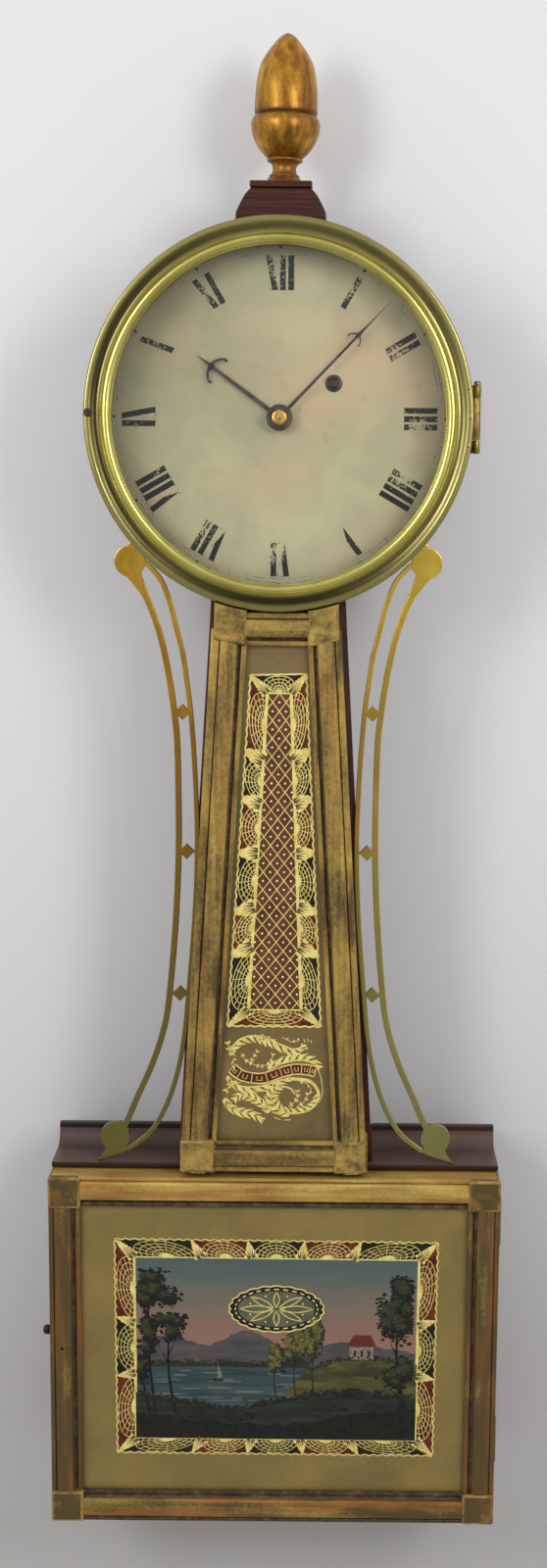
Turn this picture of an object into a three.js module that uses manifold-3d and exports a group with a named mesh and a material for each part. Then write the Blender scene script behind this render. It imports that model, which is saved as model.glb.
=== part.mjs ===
// Banjo clock: a wall timepiece with a round head, a tapered throat and a box for the pendulum.
// Millimetres. X to the right, Y into the wall, Z up. The origin is on the wall, behind the hands.
// A depth (d) is a distance out from the wall, so it lies at Y = -d.
import * as THREE from "three";
import { mergeVertices } from "three/addons/utils/BufferGeometryUtils.js";
import Module from "manifold-3d";

const wasm = await Module();
wasm.setup();

// Fits shared by all pieces
const SEAT = 0.3; // gap left between faces that touch
const RUNNING = 0.3; // radial play of what turns or slides
const OVERRUN = 2; // how far a cutting tool passes the face that it cuts
const QUARTER = Math.PI / 2;
const TURN = 2 * Math.PI;

// Depths of the case
const BACKBOARD_THICKNESS = 12;
const CARCASE_FRONT = 76; // front of the head, the throat sides and the box sides
const DOOR_GAP = 0.5;
const DOOR_THICKNESS = 20;
const DOOR_BACK = CARCASE_FRONT + DOOR_GAP;
const DOOR_FRONT = DOOR_BACK + DOOR_THICKNESS;
const INSIDE_BACK = BACKBOARD_THICKNESS + SEAT;

// Box: heights are measured up from its underside
const BOX = {
  drop: 626.5, // from the hands down to the underside
  width: 252.6,
  doorOverhang: 0.7, // how far the door stands past each side
  doorPlay: 0.6, // room between the door and the nosing
  wall: 8,
  shelfBoard: 11,
  shelfTop: 210.5,
  lip: 6, // how far the nosing stands over the door
  lipThickness: 2.9,
  upstandDepth: 47.4,
  upstandHeight: 11.8,
  cove: 6,
  shelfBar: 6, // wood left in front of the opening to the throat
};
const BOX_FLOOR = -BOX.drop;
const SHELF_TOP = BOX_FLOOR + BOX.shelfTop;
const SHELF_UNDERSIDE = SHELF_TOP - BOX.shelfBoard;
const UPSTAND_TOP = SHELF_TOP + BOX.upstandHeight;
const DOOR_WIDTH = BOX.width + BOX.doorOverhang * 2;
const DOOR_HEIGHT = BOX.shelfTop - BOX.lipThickness - BOX.doorPlay;
const DOOR_TOP = BOX_FLOOR + DOOR_HEIGHT;
const boxHalf = BOX.width / 2;

// Throat: the frame tapers in a straight line from the shelf to the head
const THROAT = {
  footHalf: 51.5, // half width of the gilt frame at the shelf
  headHalf: 33.15, // half width of the gilt frame below the bezel
  headDrop: 100, // where headHalf is measured, below the hands
  reveal: 3.6, // body that shows beside the frame
  wall: 8,
  frameThickness: 20.2,
  blockHeight: 18.6,
  blockWidth: 19,
  blockProud: 0.5,
  topBlock: 19.5, // how far the top blocks reach below the bezel
  topSight: 1.3, // how far the opening rises past the blocks' lower edge
};
const THROAT_SLOPE =
  (THROAT.footHalf - THROAT.headHalf) / (-SHELF_TOP - THROAT.headDrop);
const frameHalf = (z) => THROAT.headHalf + (-THROAT.headDrop - z) * THROAT_SLOPE;
const bodyHalf = (z) => frameHalf(z) + THROAT.reveal;

// Gilt mouldings of the two frames, from the outer edge inwards
const MOULDING = {
  width: 18,
  rebate: 6,
  glassBed: 14.5, // height of the glass seat over the back of the frame
  lip: 1.2,
};
const GLASS_THICKNESS = 2.1;

// Head, bezel and dial
const ROUND = 44; // facets of the head, the dial and the bezel
const HEAD = { radius: 102, wall: 14, dialDepth: 68, ledge: 2.4, outlet: 28 };
const BEZEL = {
  overhang: 0.8, // how far it stands past the head
  wall: 5.3,
  width: 14.6, // from its outside in to the sight edge
  lip: 2.2,
  glassDepth: 90.2,
  glassRise: 7,
};
const BEZEL_RADIUS = HEAD.radius + BEZEL.overhang;
const SIGHT_RADIUS = BEZEL_RADIUS - BEZEL.width;
const GLASS_RADIUS = BEZEL_RADIUS - BEZEL.wall - SEAT;
const TOP_ARC = BEZEL_RADIUS + THROAT.topBlock; // lower edge of the throat's top blocks
const GLASS_TOP = TOP_ARC - THROAT.topSight; // drop of the opening's top edge
// Bezel section: how far in from its outside, and how far back from its front
const BEZEL_SECTION = [
  [0, 1.6],
  [0.5, 0.5],
  [4.4, 0],
  [4.7, 1.4],
  [6.6, 3.4],
  [8.4, 3],
  [9.4, 1.2],
  [11.2, 0.9],
  [12.8, 2.2],
];
const DIAL = { inset: 7, thickness: 1.5, arborHole: 5 };
const DIAL_RADIUS = HEAD.radius - DIAL.inset;
const HANGING = { inset: 22, radius: 4 }; // hole in the backboard, below the head's top

// Finial and plinth
const PLINTH = {
  capHalf: 16.6,
  capThickness: 3.5,
  capRise: 21.2, // over the top of the head
  neckHalf: 15,
  baseHalf: 24,
  shoulderRise: 5, // over the top of the head, where the swell ends
  depth: 52,
  middle: 45, // distance of its middle from the wall
  capOverhang: 1.6,
};
const PLINTH_TOP = HEAD.radius + PLINTH.capRise;
const PLINTH_SHOULDER = HEAD.radius + PLINTH.shoulderRise;
const FINIAL = { height: 79.8, radius: 18.6, lean: 1.3 * (Math.PI / 180), offset: 1 };

// Side arms
const ARM = {
  thickness: 3,
  discOut: 9.4, // from the head's edge to the middle of the upper disc
  discAngle: -43.87 * (Math.PI / 180), // from three o'clock
  footOut: 35.5, // from the throat's side to the middle of the lower disc
  footRise: 14.7, // that middle over the shelf
  discRadius: 8.3,
  outerWidth: 3.5,
  innerWidth: 2.7,
  waistShare: 0.49, // where the rails stand closest, down from the upper disc
  waistClear: 3.26, // from the gilt frame to the middle of the inner rail there
  waistGap: 10.1, // between the middles of the two rails there
  lugThickness: 1.8,
  lugDepth: 9,
  lugSpread: 5.4 * (Math.PI / 180),
  tipOut: 46.5, // from the throat's side to the tip of the foot
  lugTurn: 3.4 * (Math.PI / 180), // from the upper disc up to the lug
  diamondHalf: 4.3,
};
const ARM_DISC_X = (HEAD.radius + ARM.discOut) * Math.cos(ARM.discAngle);
const ARM_DISC_Z = (HEAD.radius + ARM.discOut) * Math.sin(ARM.discAngle);
const ARM_FOOT_X = bodyHalf(SHELF_TOP) + ARM.footOut;
const ARM_FOOT_Z = SHELF_TOP + SEAT + ARM.footRise;
const ARM_TIP_X = bodyHalf(SHELF_TOP) + ARM.tipOut;
const ARM_SPAN = ARM_DISC_Z - ARM_FOOT_Z;
const INNER_WAIST = frameHalf(ARM_DISC_Z - ARM_SPAN * ARM.waistShare) + ARM.waistClear;
const OUTER_WAIST = INNER_WAIST + ARM.waistGap;
const LUG_ANGLE = ARM.discAngle + ARM.lugTurn;
const ARM_SCREW = { headRadius: 2.2, headHeight: 1.5, shank: 1.1, length: 8 };

// Movement: planes are distances from the wall
const PLATE = { thickness: 2, left: 44, right: 66, top: 72, bottom: 48, corner: 6, shoulder: 26 };
const BACK_PLATE = INSIDE_BACK;
const FRONT_PLATE = 48.3;
const PLATE_SPACE = FRONT_PLATE - BACK_PLATE - PLATE.thickness;
const PILLAR = { radius: 2.6, inset: 6 };
const LINE_POST = { radius: 1.2, z: 20.9, back: 25 }; // ties the line's standing end
const PIVOT = { radius: 1.1, hole: 1.35 };
const ARBOR_RADIUS = 1.5;
const LEAF_LENGTH = 3.4;
const WINDING = { x: 28.9, z: 18.4 };
const TEETH = {
  great: 128,
  centrePinion: 8,
  centre: 78,
  thirdPinion: 8,
  third: 66,
  escapePinion: 8,
  escape: 30,
  cannon: 12,
  minute: 36,
  minutePinion: 10,
  hour: 40,
};
const THIRD_DISTANCE = 24.6; // centre arbor to third arbor
const ESCAPE_RISE = 40; // centre arbor to escape arbor
const ESCAPE_DISTANCE = 19; // third arbor to escape arbor
const ESCAPE_RADIUS = 12;
const VERGE_RISE = 57; // centre arbor to pallet arbor and pendulum spring
const MINUTE_DISTANCE = 14.4; // centre arbor to minute wheel stud
const PLANE = {
  third: 18,
  escape: 24,
  drumBack: 16.5,
  drumFront: 36.5,
  great: 38.6,
  centre: 43.6,
  cannon: 52,
  hour: 56.2,
  pendulum: 62.2,
  hourHand: 71.6,
  minuteHand: 74.6,
};
const WHEEL_THICKNESS = 1.4;
const GREAT_THICKNESS = 2;
const DRUM = { radius: 9.4, flange: 13, flangeThickness: 1.2, ratchetTeeth: 18 };
const GUT_RADIUS = 0.6;
const SQUARE = { side: 3.8, length: 12 };
const GROMMET = { radius: 4.6, bore: 3, lip: 0.8 };

// Weight and pendulum
const WEIGHT = {
  topHalf: 22.5,
  bottomHalf: 26,
  height: 105,
  back: 15,
  front: 40,
  floorGap: 12,
  stirrupHeight: 24,
};
const PULLEY = { radius: 15.9, width: 6, groove: 1.4, axle: 1.4 };
const LINE_X = WINDING.x - DRUM.radius - GUT_RADIUS;
const WEIGHT_X = LINE_X - PULLEY.radius;
const STANDING_X = WEIGHT_X - PULLEY.radius;
const LINE_TOP = LINE_POST.z - LINE_POST.radius - SEAT;
const LINE_PLANE = (PLANE.drumBack + PLANE.drumFront) / 2;
const WEIGHT_BOTTOM = BOX_FLOOR + BOX.wall + WEIGHT.floorGap;
const PULLEY_Z = WEIGHT_BOTTOM + WEIGHT.height + WEIGHT.stirrupHeight;
const BAFFLE = { depth: 46.4, thickness: 0.8, top: -112 };
const PENDULUM = {
  bobHeight: 130.5, // middle of the bob over the box's underside
  bobRadius: 27,
  bobEdge: 0.8,
  bobHalf: 5,
  rodHalf: 1.4,
  rodThickness: 1.2,
  springHalf: 2.6,
  springThickness: 0.5,
  springBelow: 7,
  springAbove: 5,
  loopInner: 8.2,
  loopWall: 1.8,
  threadLength: 17,
};
const PENDULUM_LENGTH = VERGE_RISE + BOX.drop - PENDULUM.bobHeight; // from the spring's bend
const RATING_NUT = { radius: 4.5, height: 3.4 };

// Hands
const HAND = {
  thickness: 0.9,
  hourLength: 54.9,
  minuteLength: 85,
  hourCollar: 6,
  minuteCollar: 4.6,
};
const HOUR_ANGLE = (306.2 * Math.PI) / 180; // clockwise from twelve
const MINUTE_ANGLE = (43.9 * Math.PI) / 180;

// Bezel hinge at three o'clock
const HINGE = {
  axisOut: 3.6, // from the head's edge to the hinge's axis
  axisProud: 1, // that axis over the bezel's back
  knuckle: 2,
  pin: 0.9,
  leafOut: 0.1, // how far the case leaf stands out from the head
  leafThickness: 1.3,
  leafDepth: 15,
  leafHalf: 18,
  middleHalf: 11,
  knuckleGap: 0.3,
};
const HINGE_DEPTH = DOOR_BACK + HINGE.axisProud;
const HINGE_X = HEAD.radius + HINGE.axisOut;
const HINGE_LEAF_X = HEAD.radius + HINGE.leafOut;

// Bezel latch at nine o'clock: a slotted head whose tongue turns behind the head's wood
const LATCH = {
  inset: 2.7, // from the bezel's edge
  z: 1,
  head: 2.3,
  headHeight: 1.2,
  shank: 1.1,
  tongue: 5.2,
  tongueHalf: 1,
  tongueThickness: 1.2,
  tongueDepth: 70.6,
  slotWidth: 0.7,
};
const LATCH_X = LATCH.inset - BEZEL_RADIUS;

// Box door: corner blocks and keyhole
const DOOR_BLOCK = { side: 18.3, proud: 0.6 };
const KEYHOLE = { inset: 7.1, height: 105, radius: 1.1, depth: 7 };

// Box door hinges at the right, one above the other
const BUTT = {
  axisOut: 1.4, // from the box's side to the hinge's axis
  knuckle: 1.5,
  pin: 0.7,
  leaf: 10,
  thickness: 1,
  length: 26.4,
  lower: 29.2, // height of its lower end
  fromTop: 45.2, // from the door's top to the upper one's lower end
  head: 0.6, // thickness of the pin's head
};
const BUTT_X = boxHalf + BUTT.axisOut;
const BUTT_DEPTH = (CARCASE_FRONT + DOOR_BACK) / 2;

// Turn latch of the box door: knob outside the left side, tongue inside it
const BOX_LATCH = {
  depth: 70,
  height: 105,
  shank: 1.4,
  knob: 2.8,
  knobLength: 6,
  plateHalf: 5,
  plateThickness: 1.2,
  tongue: 14,
  tongueHalf: 2,
  tongueThickness: 1.4,
};

// Teeth and leaves: heights are in modules
const TOOTH = { addendum: 0.8, dedendum: 1.45 };
const LEAF = { addendum: 0.62, dedendum: 1.2, tipShare: 0.07, rootShare: 0.2 };

// Small parts of the movement and the hands
const MOVEMENT_SCREW = { places: [[-32, -30], [32, -30]], shank: 1.4, head: 3, headHeight: 1.8 };
const CANNON = { bore: 1.2, pipe: 2.1 };
const HOUR_PIPE = { bore: CANNON.pipe + RUNNING, radius: 3.6 };
const PALLET = { clearance: 1.1, width: 1.8, span: 42 * (Math.PI / 180), thickness: 2.4, neck: 2.2 };
const CRUTCH = { depth: 51.4, thickness: 1.2, half: 1.2, length: 24 };
const BRIDGE = { footBottom: 62.5, top: 70, half: 7, slot: 0.5, thickness: 2.4, drop: 1.2 };
const WASHER = { radius: 7.1, thickness: 0.8 };
const NUT = { radius: 3.9, thickness: 2 };
const WASHER_BACK = PLANE.minuteHand + HAND.thickness + SEAT;
const NUT_BACK = WASHER_BACK + WASHER.thickness + SEAT;
const NUT_FRONT = NUT_BACK + NUT.thickness + SEAT * 2;

// Materials
const finish = (color, roughness, metalness) =>
  new THREE.MeshStandardMaterial({ color, roughness, metalness });
const mahogany = () => finish(0x4a2118, 0.45, 0);
const gilt = () => finish(0x9c7a3c, 0.42, 0.55);
const brass = () => finish(0xa78f45, 0.35, 1);
const steel = () => finish(0x3a3a3c, 0.4, 1);
const iron = () => finish(0x55534e, 0.6, 0.8);
const dialPaint = () => finish(0xe3dcc2, 0.5, 0);
const gut = () => finish(0xb08a4a, 0.6, 0);
const glass = () => {
  const clear = finish(0xdfe6e0, 0.05, 0);
  clear.transparent = true;
  clear.opacity = 0.3;
  return clear;
};
const paintedGlass = () => finish(0x6f6437, 0.25, 0);

// Solids

// A closed geometry as a solid that can be cut or joined.
function solid(geometry) {
  const bare = geometry.clone();
  bare.deleteAttribute("normal");
  bare.deleteAttribute("uv");
  const merged = mergeVertices(bare);
  return new wasm.Manifold(
    new wasm.Mesh({
      numProp: 3,
      vertProperties: merged.attributes.position.array,
      triVerts: new Uint32Array(merged.index.array),
    }),
  );
}

const join = (first, ...others) => others.reduce((all, next) => all.add(next), first);
const cut = (first, ...tools) => tools.reduce((all, next) => all.subtract(next), first);

// The solid's surface as flat-shaded geometry for a mesh.
function surface(manifold) {
  const mesh = manifold.getMesh();
  const geometry = new THREE.BufferGeometry();
  geometry.setAttribute("position", new THREE.BufferAttribute(mesh.vertProperties, 3));
  geometry.setIndex(new THREE.BufferAttribute(mesh.triVerts, 1));
  geometry.computeVertexNormals();
  return geometry;
}

// A named piece at a place: x, distance from the wall, z.
function piece(name, body, material, [x, d, z] = [0, 0, 0], turn = 0) {
  const mesh = new THREE.Mesh(surface(body), material);
  mesh.name = name;
  mesh.position.set(x, -d, z);
  mesh.rotation.y = turn;
  return mesh;
}

const point = (x, y) => new THREE.Vector2(x, y);
const inOrder = (a, b) => [Math.min(a, b), Math.max(a, b)];

function outline(points) {
  return new THREE.Shape(points.map(([x, y]) => point(x, y)));
}

// A shape seen from the front, made solid between two depths.
function frontal(shape, back, front, curveSegments = 12) {
  const geometry = new THREE.ExtrudeGeometry(shape, {
    depth: front - back,
    bevelEnabled: false,
    curveSegments,
  });
  return solid(geometry.rotateX(QUARTER).translate(0, -back, 0));
}

// A section in (depth, z), made solid between two x.
function sideways(points, left, right, curveSegments = 6) {
  const shape = outline(points.map(([d, z]) => [-z, -d]));
  const geometry = new THREE.ExtrudeGeometry(shape, {
    depth: right - left,
    bevelEnabled: false,
    curveSegments,
  });
  return solid(geometry.rotateY(QUARTER).translate(left, 0, 0));
}

// A section in (x, depth), made solid between two z.
function upright(shape, bottom, top, curveSegments = 10) {
  const geometry = new THREE.ExtrudeGeometry(shape, {
    depth: top - bottom,
    bevelEnabled: false,
    curveSegments,
  });
  return solid(geometry.translate(0, 0, bottom));
}

function block([x0, x1], [d0, d1], [z0, z1]) {
  const geometry = new THREE.BoxGeometry(x1 - x0, d1 - d0, z1 - z0);
  return solid(geometry.translate((x0 + x1) / 2, -(d0 + d1) / 2, (z0 + z1) / 2));
}

// A closed profile turned about an axis, with its faces out.
function lathe(points, sides) {
  const profile = points.map(([r, y]) => point(r, y));
  const onAxis = points[0][0] === 0 && points.at(-1)[0] === 0;
  if (THREE.ShapeUtils.area(profile) < 0) profile.reverse();
  if (!onAxis) profile.push(profile[0].clone());
  return new THREE.LatheGeometry(profile, sides);
}

// Turned about the line from the wall to the front: points are (radius, depth).
function turned(points, sides) {
  return solid(lathe(points.map(([r, d]) => [r, -d]), sides));
}

// Turned about a vertical axis: points are (radius, height).
function turnedUpright(points, sides) {
  return solid(lathe(points, sides).rotateX(QUARTER));
}

// Turned about an axis from left to right: points are (radius, x).
function turnedAcross(points, sides) {
  return solid(lathe(points, sides).rotateZ(-QUARTER));
}

const rod = (radius, from, to) => [
  [0, from],
  [radius, from],
  [radius, to],
  [0, to],
];

const tube = (outer, bore, from, to) => [
  [bore, from],
  [outer, from],
  [outer, to],
  [bore, to],
];

// Case

function backboard() {
  const half = BOX.width / 2;
  const shape = new THREE.Shape();
  const foot = bodyHalf(UPSTAND_TOP);
  const [joinX, joinZ] = bodyMeetsHead(HEAD.radius);
  shape.moveTo(-half, BOX_FLOOR);
  shape.lineTo(half, BOX_FLOOR);
  shape.lineTo(half, UPSTAND_TOP);
  shape.lineTo(foot, UPSTAND_TOP);
  shape.lineTo(joinX, joinZ);
  shape.absarc(0, 0, HEAD.radius, Math.atan2(joinZ, joinX), Math.atan2(joinZ, -joinX), false);
  shape.lineTo(-foot, UPSTAND_TOP);
  shape.lineTo(-half, UPSTAND_TOP);
  shape.closePath();
  const hanger = new THREE.Path().absarc(0, HEAD.radius - HANGING.inset, HANGING.radius, 0, TURN, true);
  shape.holes.push(hanger);
  return frontal(shape, 0, BACKBOARD_THICKNESS, 20);
}

// Where the slanted edge of the throat body meets a circle about the hands.
function bodyMeetsHead(radius) {
  const start = bodyHalf(0);
  const a = 1 + THROAT_SLOPE * THROAT_SLOPE;
  const b = -2 * start * THROAT_SLOPE;
  const c = start * start - radius * radius;
  const z = (-b - Math.sqrt(b * b - 4 * a * c)) / (2 * a);
  return [bodyHalf(z), z];
}

function headRing() {
  const inner = HEAD.radius - HEAD.wall;
  const ring = turned(
    [
      [inner, INSIDE_BACK],
      [HEAD.radius, INSIDE_BACK],
      [HEAD.radius, CARCASE_FRONT],
      [DIAL_RADIUS + SEAT, CARCASE_FRONT],
      [DIAL_RADIUS + SEAT, HEAD.dialDepth],
      [inner, HEAD.dialDepth],
    ],
    ROUND,
  );
  const outlet = block(
    [-HEAD.outlet, HEAD.outlet],
    [INSIDE_BACK - OVERRUN, HEAD.dialDepth - HEAD.ledge],
    [-HEAD.radius - OVERRUN, -inner / 2],
  );
  const flat = HINGE_LEAF_X - HINGE.leafThickness - SEAT;
  const hingeFlat = block(
    [flat, HEAD.radius + OVERRUN],
    [CARCASE_FRONT - HINGE.leafDepth - SEAT, CARCASE_FRONT + OVERRUN],
    [-HINGE.leafHalf - SEAT, HINGE.leafHalf + SEAT],
  );
  return cut(ring, outlet, hingeFlat, latchPocket(), ...armScrewHoles());
}

function latchPocket() {
  const play = RUNNING * 2;
  const width = LATCH.tongueHalf + play;
  const reach = LATCH.tongue + play;
  const front = LATCH.tongueDepth + LATCH.tongueThickness + play;
  const cavity = block(
    [LATCH_X - width, LATCH_X + reach],
    [LATCH.tongueDepth - play, front],
    [LATCH.z - width, LATCH.z + reach],
  );
  const mouth = block(
    [LATCH_X - width, LATCH_X + width],
    [LATCH.tongueDepth, CARCASE_FRONT + OVERRUN],
    [LATCH.z - width, LATCH.z + reach],
  );
  return join(cavity, mouth);
}

function plinth() {
  const half = PLINTH.baseHalf;
  const shape = new THREE.Shape();
  const capBottom = PLINTH_TOP - PLINTH.capThickness;
  shape.moveTo(-half - PLINTH.capOverhang, HEAD.radius - PLINTH.capHalf);
  shape.lineTo(half + PLINTH.capOverhang, HEAD.radius - PLINTH.capHalf);
  shape.lineTo(half, PLINTH_SHOULDER);
  shape.bezierCurveTo(
    half,
    PLINTH_SHOULDER + PLINTH.capThickness * 2,
    PLINTH.neckHalf + PLINTH.capOverhang * 3,
    capBottom,
    PLINTH.neckHalf,
    capBottom,
  );
  shape.lineTo(-PLINTH.neckHalf, capBottom);
  shape.bezierCurveTo(
    -PLINTH.neckHalf - PLINTH.capOverhang * 3,
    capBottom,
    -half,
    PLINTH_SHOULDER + PLINTH.capThickness * 2,
    -half,
    PLINTH_SHOULDER,
  );
  shape.closePath();
  const back = PLINTH.middle - PLINTH.depth / 2;
  const front = PLINTH.middle + PLINTH.depth / 2;
  const body = frontal(shape, back, front, 8);
  const cap = block(
    [-PLINTH.capHalf, PLINTH.capHalf],
    [back - PLINTH.capOverhang, front + PLINTH.capOverhang],
    [capBottom - SEAT, PLINTH_TOP],
  );
  const head = turned(rod(HEAD.radius + SEAT, back - OVERRUN, front + OVERRUN), ROUND);
  return join(cut(body, head), cap);
}

// Radius and height shares of the turned acorn, from its foot to its tip
const ACORN_SHARES = [
  [0.61, 0],
  [0.61, 0.0125],
  [0.478, 0.06],
  [0.365, 0.09],
  [0.341, 0.104],
  [0.36, 0.13],
  [0.43, 0.165],
  [0.516, 0.188],
  [0.53, 0.205],
  [0.632, 0.222],
  [0.833, 0.291],
  [0.95, 0.335],
  [1, 0.376],
  [0.985, 0.42],
  [0.914, 0.457],
  [0.876, 0.471],
  [0.898, 0.501],
  [0.88, 0.6],
  [0.833, 0.683],
  [0.715, 0.764],
  [0.511, 0.852],
  [0.269, 0.94],
  [0.12, 0.98],
];

function finial() {
  const points = ACORN_SHARES.map(([r, h]) => [r * FINIAL.radius, h * FINIAL.height]);
  return turnedUpright([[0, 0], ...points, [0, FINIAL.height]], 16);
}

function throatSide(side) {
  const [joinX, joinZ] = bodyMeetsHead(HEAD.radius);
  const foot = SHELF_TOP + SEAT;
  const slant = THROAT.wall;
  const shape = outline([
    [side * bodyHalf(foot), foot],
    [side * joinX, joinZ],
    [side * bodyHalf(joinZ + slant), joinZ + slant],
    [side * (bodyHalf(joinZ + slant) - slant), joinZ + slant],
    [side * (bodyHalf(foot) - slant), foot],
  ]);
  const board = frontal(shape, INSIDE_BACK, CARCASE_FRONT);
  const head = turned(rod(HEAD.radius + SEAT, 0, CARCASE_FRONT + OVERRUN), ROUND);
  return cut(board, head);
}

// Section of a gilt moulding: x runs inwards from the outer edge, y out from its back.
// Shares are of the moulding's width and of its height.
const BEAD_SHARES = {
  outerShares: [0.02, 0.15],
  roundShares: [0.19, 0.71],
  innerShares: [0.82, 0.97],
  outerTopShare: 0.95,
  roundTopShare: 1,
  innerTopShare: 0.87,
  grooveShare: 0.8,
  edgeShare: 0.86,
};

function mouldingSection(height) {
  const w = MOULDING.width;
  const s = BEAD_SHARES;
  const groove = s.grooveShare * height;
  const crown = (top, base) => 2 * top * height - base;
  const section = new THREE.Shape();
  section.moveTo(0, 0);
  section.lineTo(w - MOULDING.rebate, 0);
  section.lineTo(w - MOULDING.rebate, MOULDING.glassBed);
  section.lineTo(w, MOULDING.glassBed);
  section.lineTo(w, MOULDING.glassBed + MOULDING.lip);
  const bead = ([from, to], top, base) => {
    section.lineTo(to * w, base);
    section.quadraticCurveTo(((from + to) / 2) * w, crown(top, base), from * w, base);
  };
  bead(s.innerShares, s.innerTopShare, groove);
  bead(s.roundShares, s.roundTopShare, groove);
  bead(s.outerShares, s.outerTopShare, s.edgeShare * height);
  section.lineTo(0, s.edgeShare * height);
  section.closePath();
  return section;
}

// One straight member: its back outer corner starts at a place, its width runs inwards.
function member(height, [x, d, z], inward, length) {
  const geometry = new THREE.ExtrudeGeometry(mouldingSection(height), {
    depth: length,
    bevelEnabled: false,
    curveSegments: 4,
  });
  const front = new THREE.Vector3(0, -1, 0);
  const along = new THREE.Vector3().crossVectors(inward, front);
  const place = new THREE.Matrix4().makeBasis(inward, front, along).setPosition(x, -d, z);
  return solid(geometry.applyMatrix4(place));
}

const frameTilt = Math.atan(THROAT_SLOPE);
const FRAME_BACK = CARCASE_FRONT + SEAT;
const FRAME_FOOT = SHELF_TOP + SEAT;
const GLASS_FOOT = FRAME_FOOT + MOULDING.width;
const openingHalf = (z) => frameHalf(z) - MOULDING.width / Math.cos(frameTilt);

// The frame's opening, made larger by a grip on every side.
function openingOutline(grip) {
  const top = -GLASS_TOP + grip;
  const bottom = GLASS_FOOT - grip;
  return outline([
    [-openingHalf(bottom) - grip, bottom],
    [openingHalf(bottom) + grip, bottom],
    [openingHalf(top) + grip, top],
    [-openingHalf(top) - grip, top],
  ]);
}

function throatFrame() {
  const height = THROAT.frameThickness;
  const front = FRAME_BACK + height;
  const proud = front + THROAT.blockProud;
  const crown = -BEZEL_RADIUS / 2;
  const length = (crown - FRAME_FOOT + BOX.lip) / Math.cos(frameTilt);
  const inwards = (side) =>
    new THREE.Vector3(-side * Math.cos(frameTilt), 0, -Math.sin(frameTilt));
  const low = FRAME_FOOT - BOX.lip;
  const right = member(height, [frameHalf(low), FRAME_BACK, low], inwards(1), length);
  const left = member(height, [-frameHalf(crown), FRAME_BACK, crown], inwards(-1), length);
  const foot = openingHalf(FRAME_FOOT) + MOULDING.rebate / 2;
  const head = openingHalf(-GLASS_TOP) + MOULDING.rebate / 2;
  const up = new THREE.Vector3(0, 0, 1);
  const rail = member(height, [-foot, FRAME_BACK, FRAME_FOOT], up, foot * 2);
  const crownTop = MOULDING.width - GLASS_TOP;
  const topRail = member(height, [head, FRAME_BACK, crownTop], up.clone().negate(), head * 2);
  const below = block(
    [-boxHalf, boxHalf],
    [FRAME_BACK - OVERRUN, proud + OVERRUN],
    [FRAME_FOOT - BOX.width, FRAME_FOOT],
  );
  const stiles = cut(join(left, right), below);
  const lowerBlocks = [-1, 1].map((side) => {
    const outer = frameHalf(FRAME_FOOT) + THROAT.blockProud;
    const ends = inOrder(side * outer, side * (outer - THROAT.blockWidth));
    return block(ends, [FRAME_BACK, proud], [FRAME_FOOT, FRAME_FOOT + THROAT.blockHeight]);
  });
  const disc = turned(rod(TOP_ARC, FRAME_BACK, proud), ROUND);
  const upperBlocks = [-1, 1].map((side) => {
    const outer = (z) => side * (frameHalf(z) + THROAT.blockProud);
    const inner = side * openingHalf(-GLASS_TOP);
    const shape = outline([
      [inner, -TOP_ARC],
      [outer(-TOP_ARC), -TOP_ARC],
      [outer(crown), crown],
      [inner, crown],
    ]);
    return disc.intersect(frontal(shape, FRAME_BACK, proud));
  });
  const bezelClear = turned(rod(BEZEL_RADIUS + SEAT * 2, 0, proud + OVERRUN), ROUND);
  const rebate = frontal(
    openingOutline(MOULDING.rebate),
    FRAME_BACK - OVERRUN,
    FRAME_BACK + MOULDING.glassBed,
  );
  const frame = join(stiles, rail, topRail, ...lowerBlocks, ...upperBlocks);
  return cut(frame, bezelClear, rebate);
}

function throatTablet() {
  const front = FRAME_BACK + MOULDING.glassBed - SEAT;
  return frontal(openingOutline(MOULDING.rebate - SEAT), front - GLASS_THICKNESS, front);
}

// Box

function boxSide(side) {
  const outer = side * boxHalf;
  const inner = side * (boxHalf - BOX.wall);
  const height = [BOX_FLOOR, SHELF_UNDERSIDE - SEAT];
  const board = block(inOrder(outer, inner), [INSIDE_BACK, CARCASE_FRONT], height);
  if (side > 0) return cut(board, ...hingeHeights().map((z) => caseMortise(z)));
  const through = [-boxHalf - OVERRUN, -boxHalf + BOX.wall + OVERRUN];
  const hole = turnedAcross(rod(BOX_LATCH.shank + RUNNING, ...through), 10);
  return cut(board, hole.translate([0, -BOX_LATCH.depth, BOX_FLOOR + BOX_LATCH.height]));
}

function boxBottom() {
  const half = boxHalf - BOX.wall - SEAT;
  return block([-half, half], [INSIDE_BACK, CARCASE_FRONT], [BOX_FLOOR, BOX_FLOOR + BOX.wall]);
}

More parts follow.
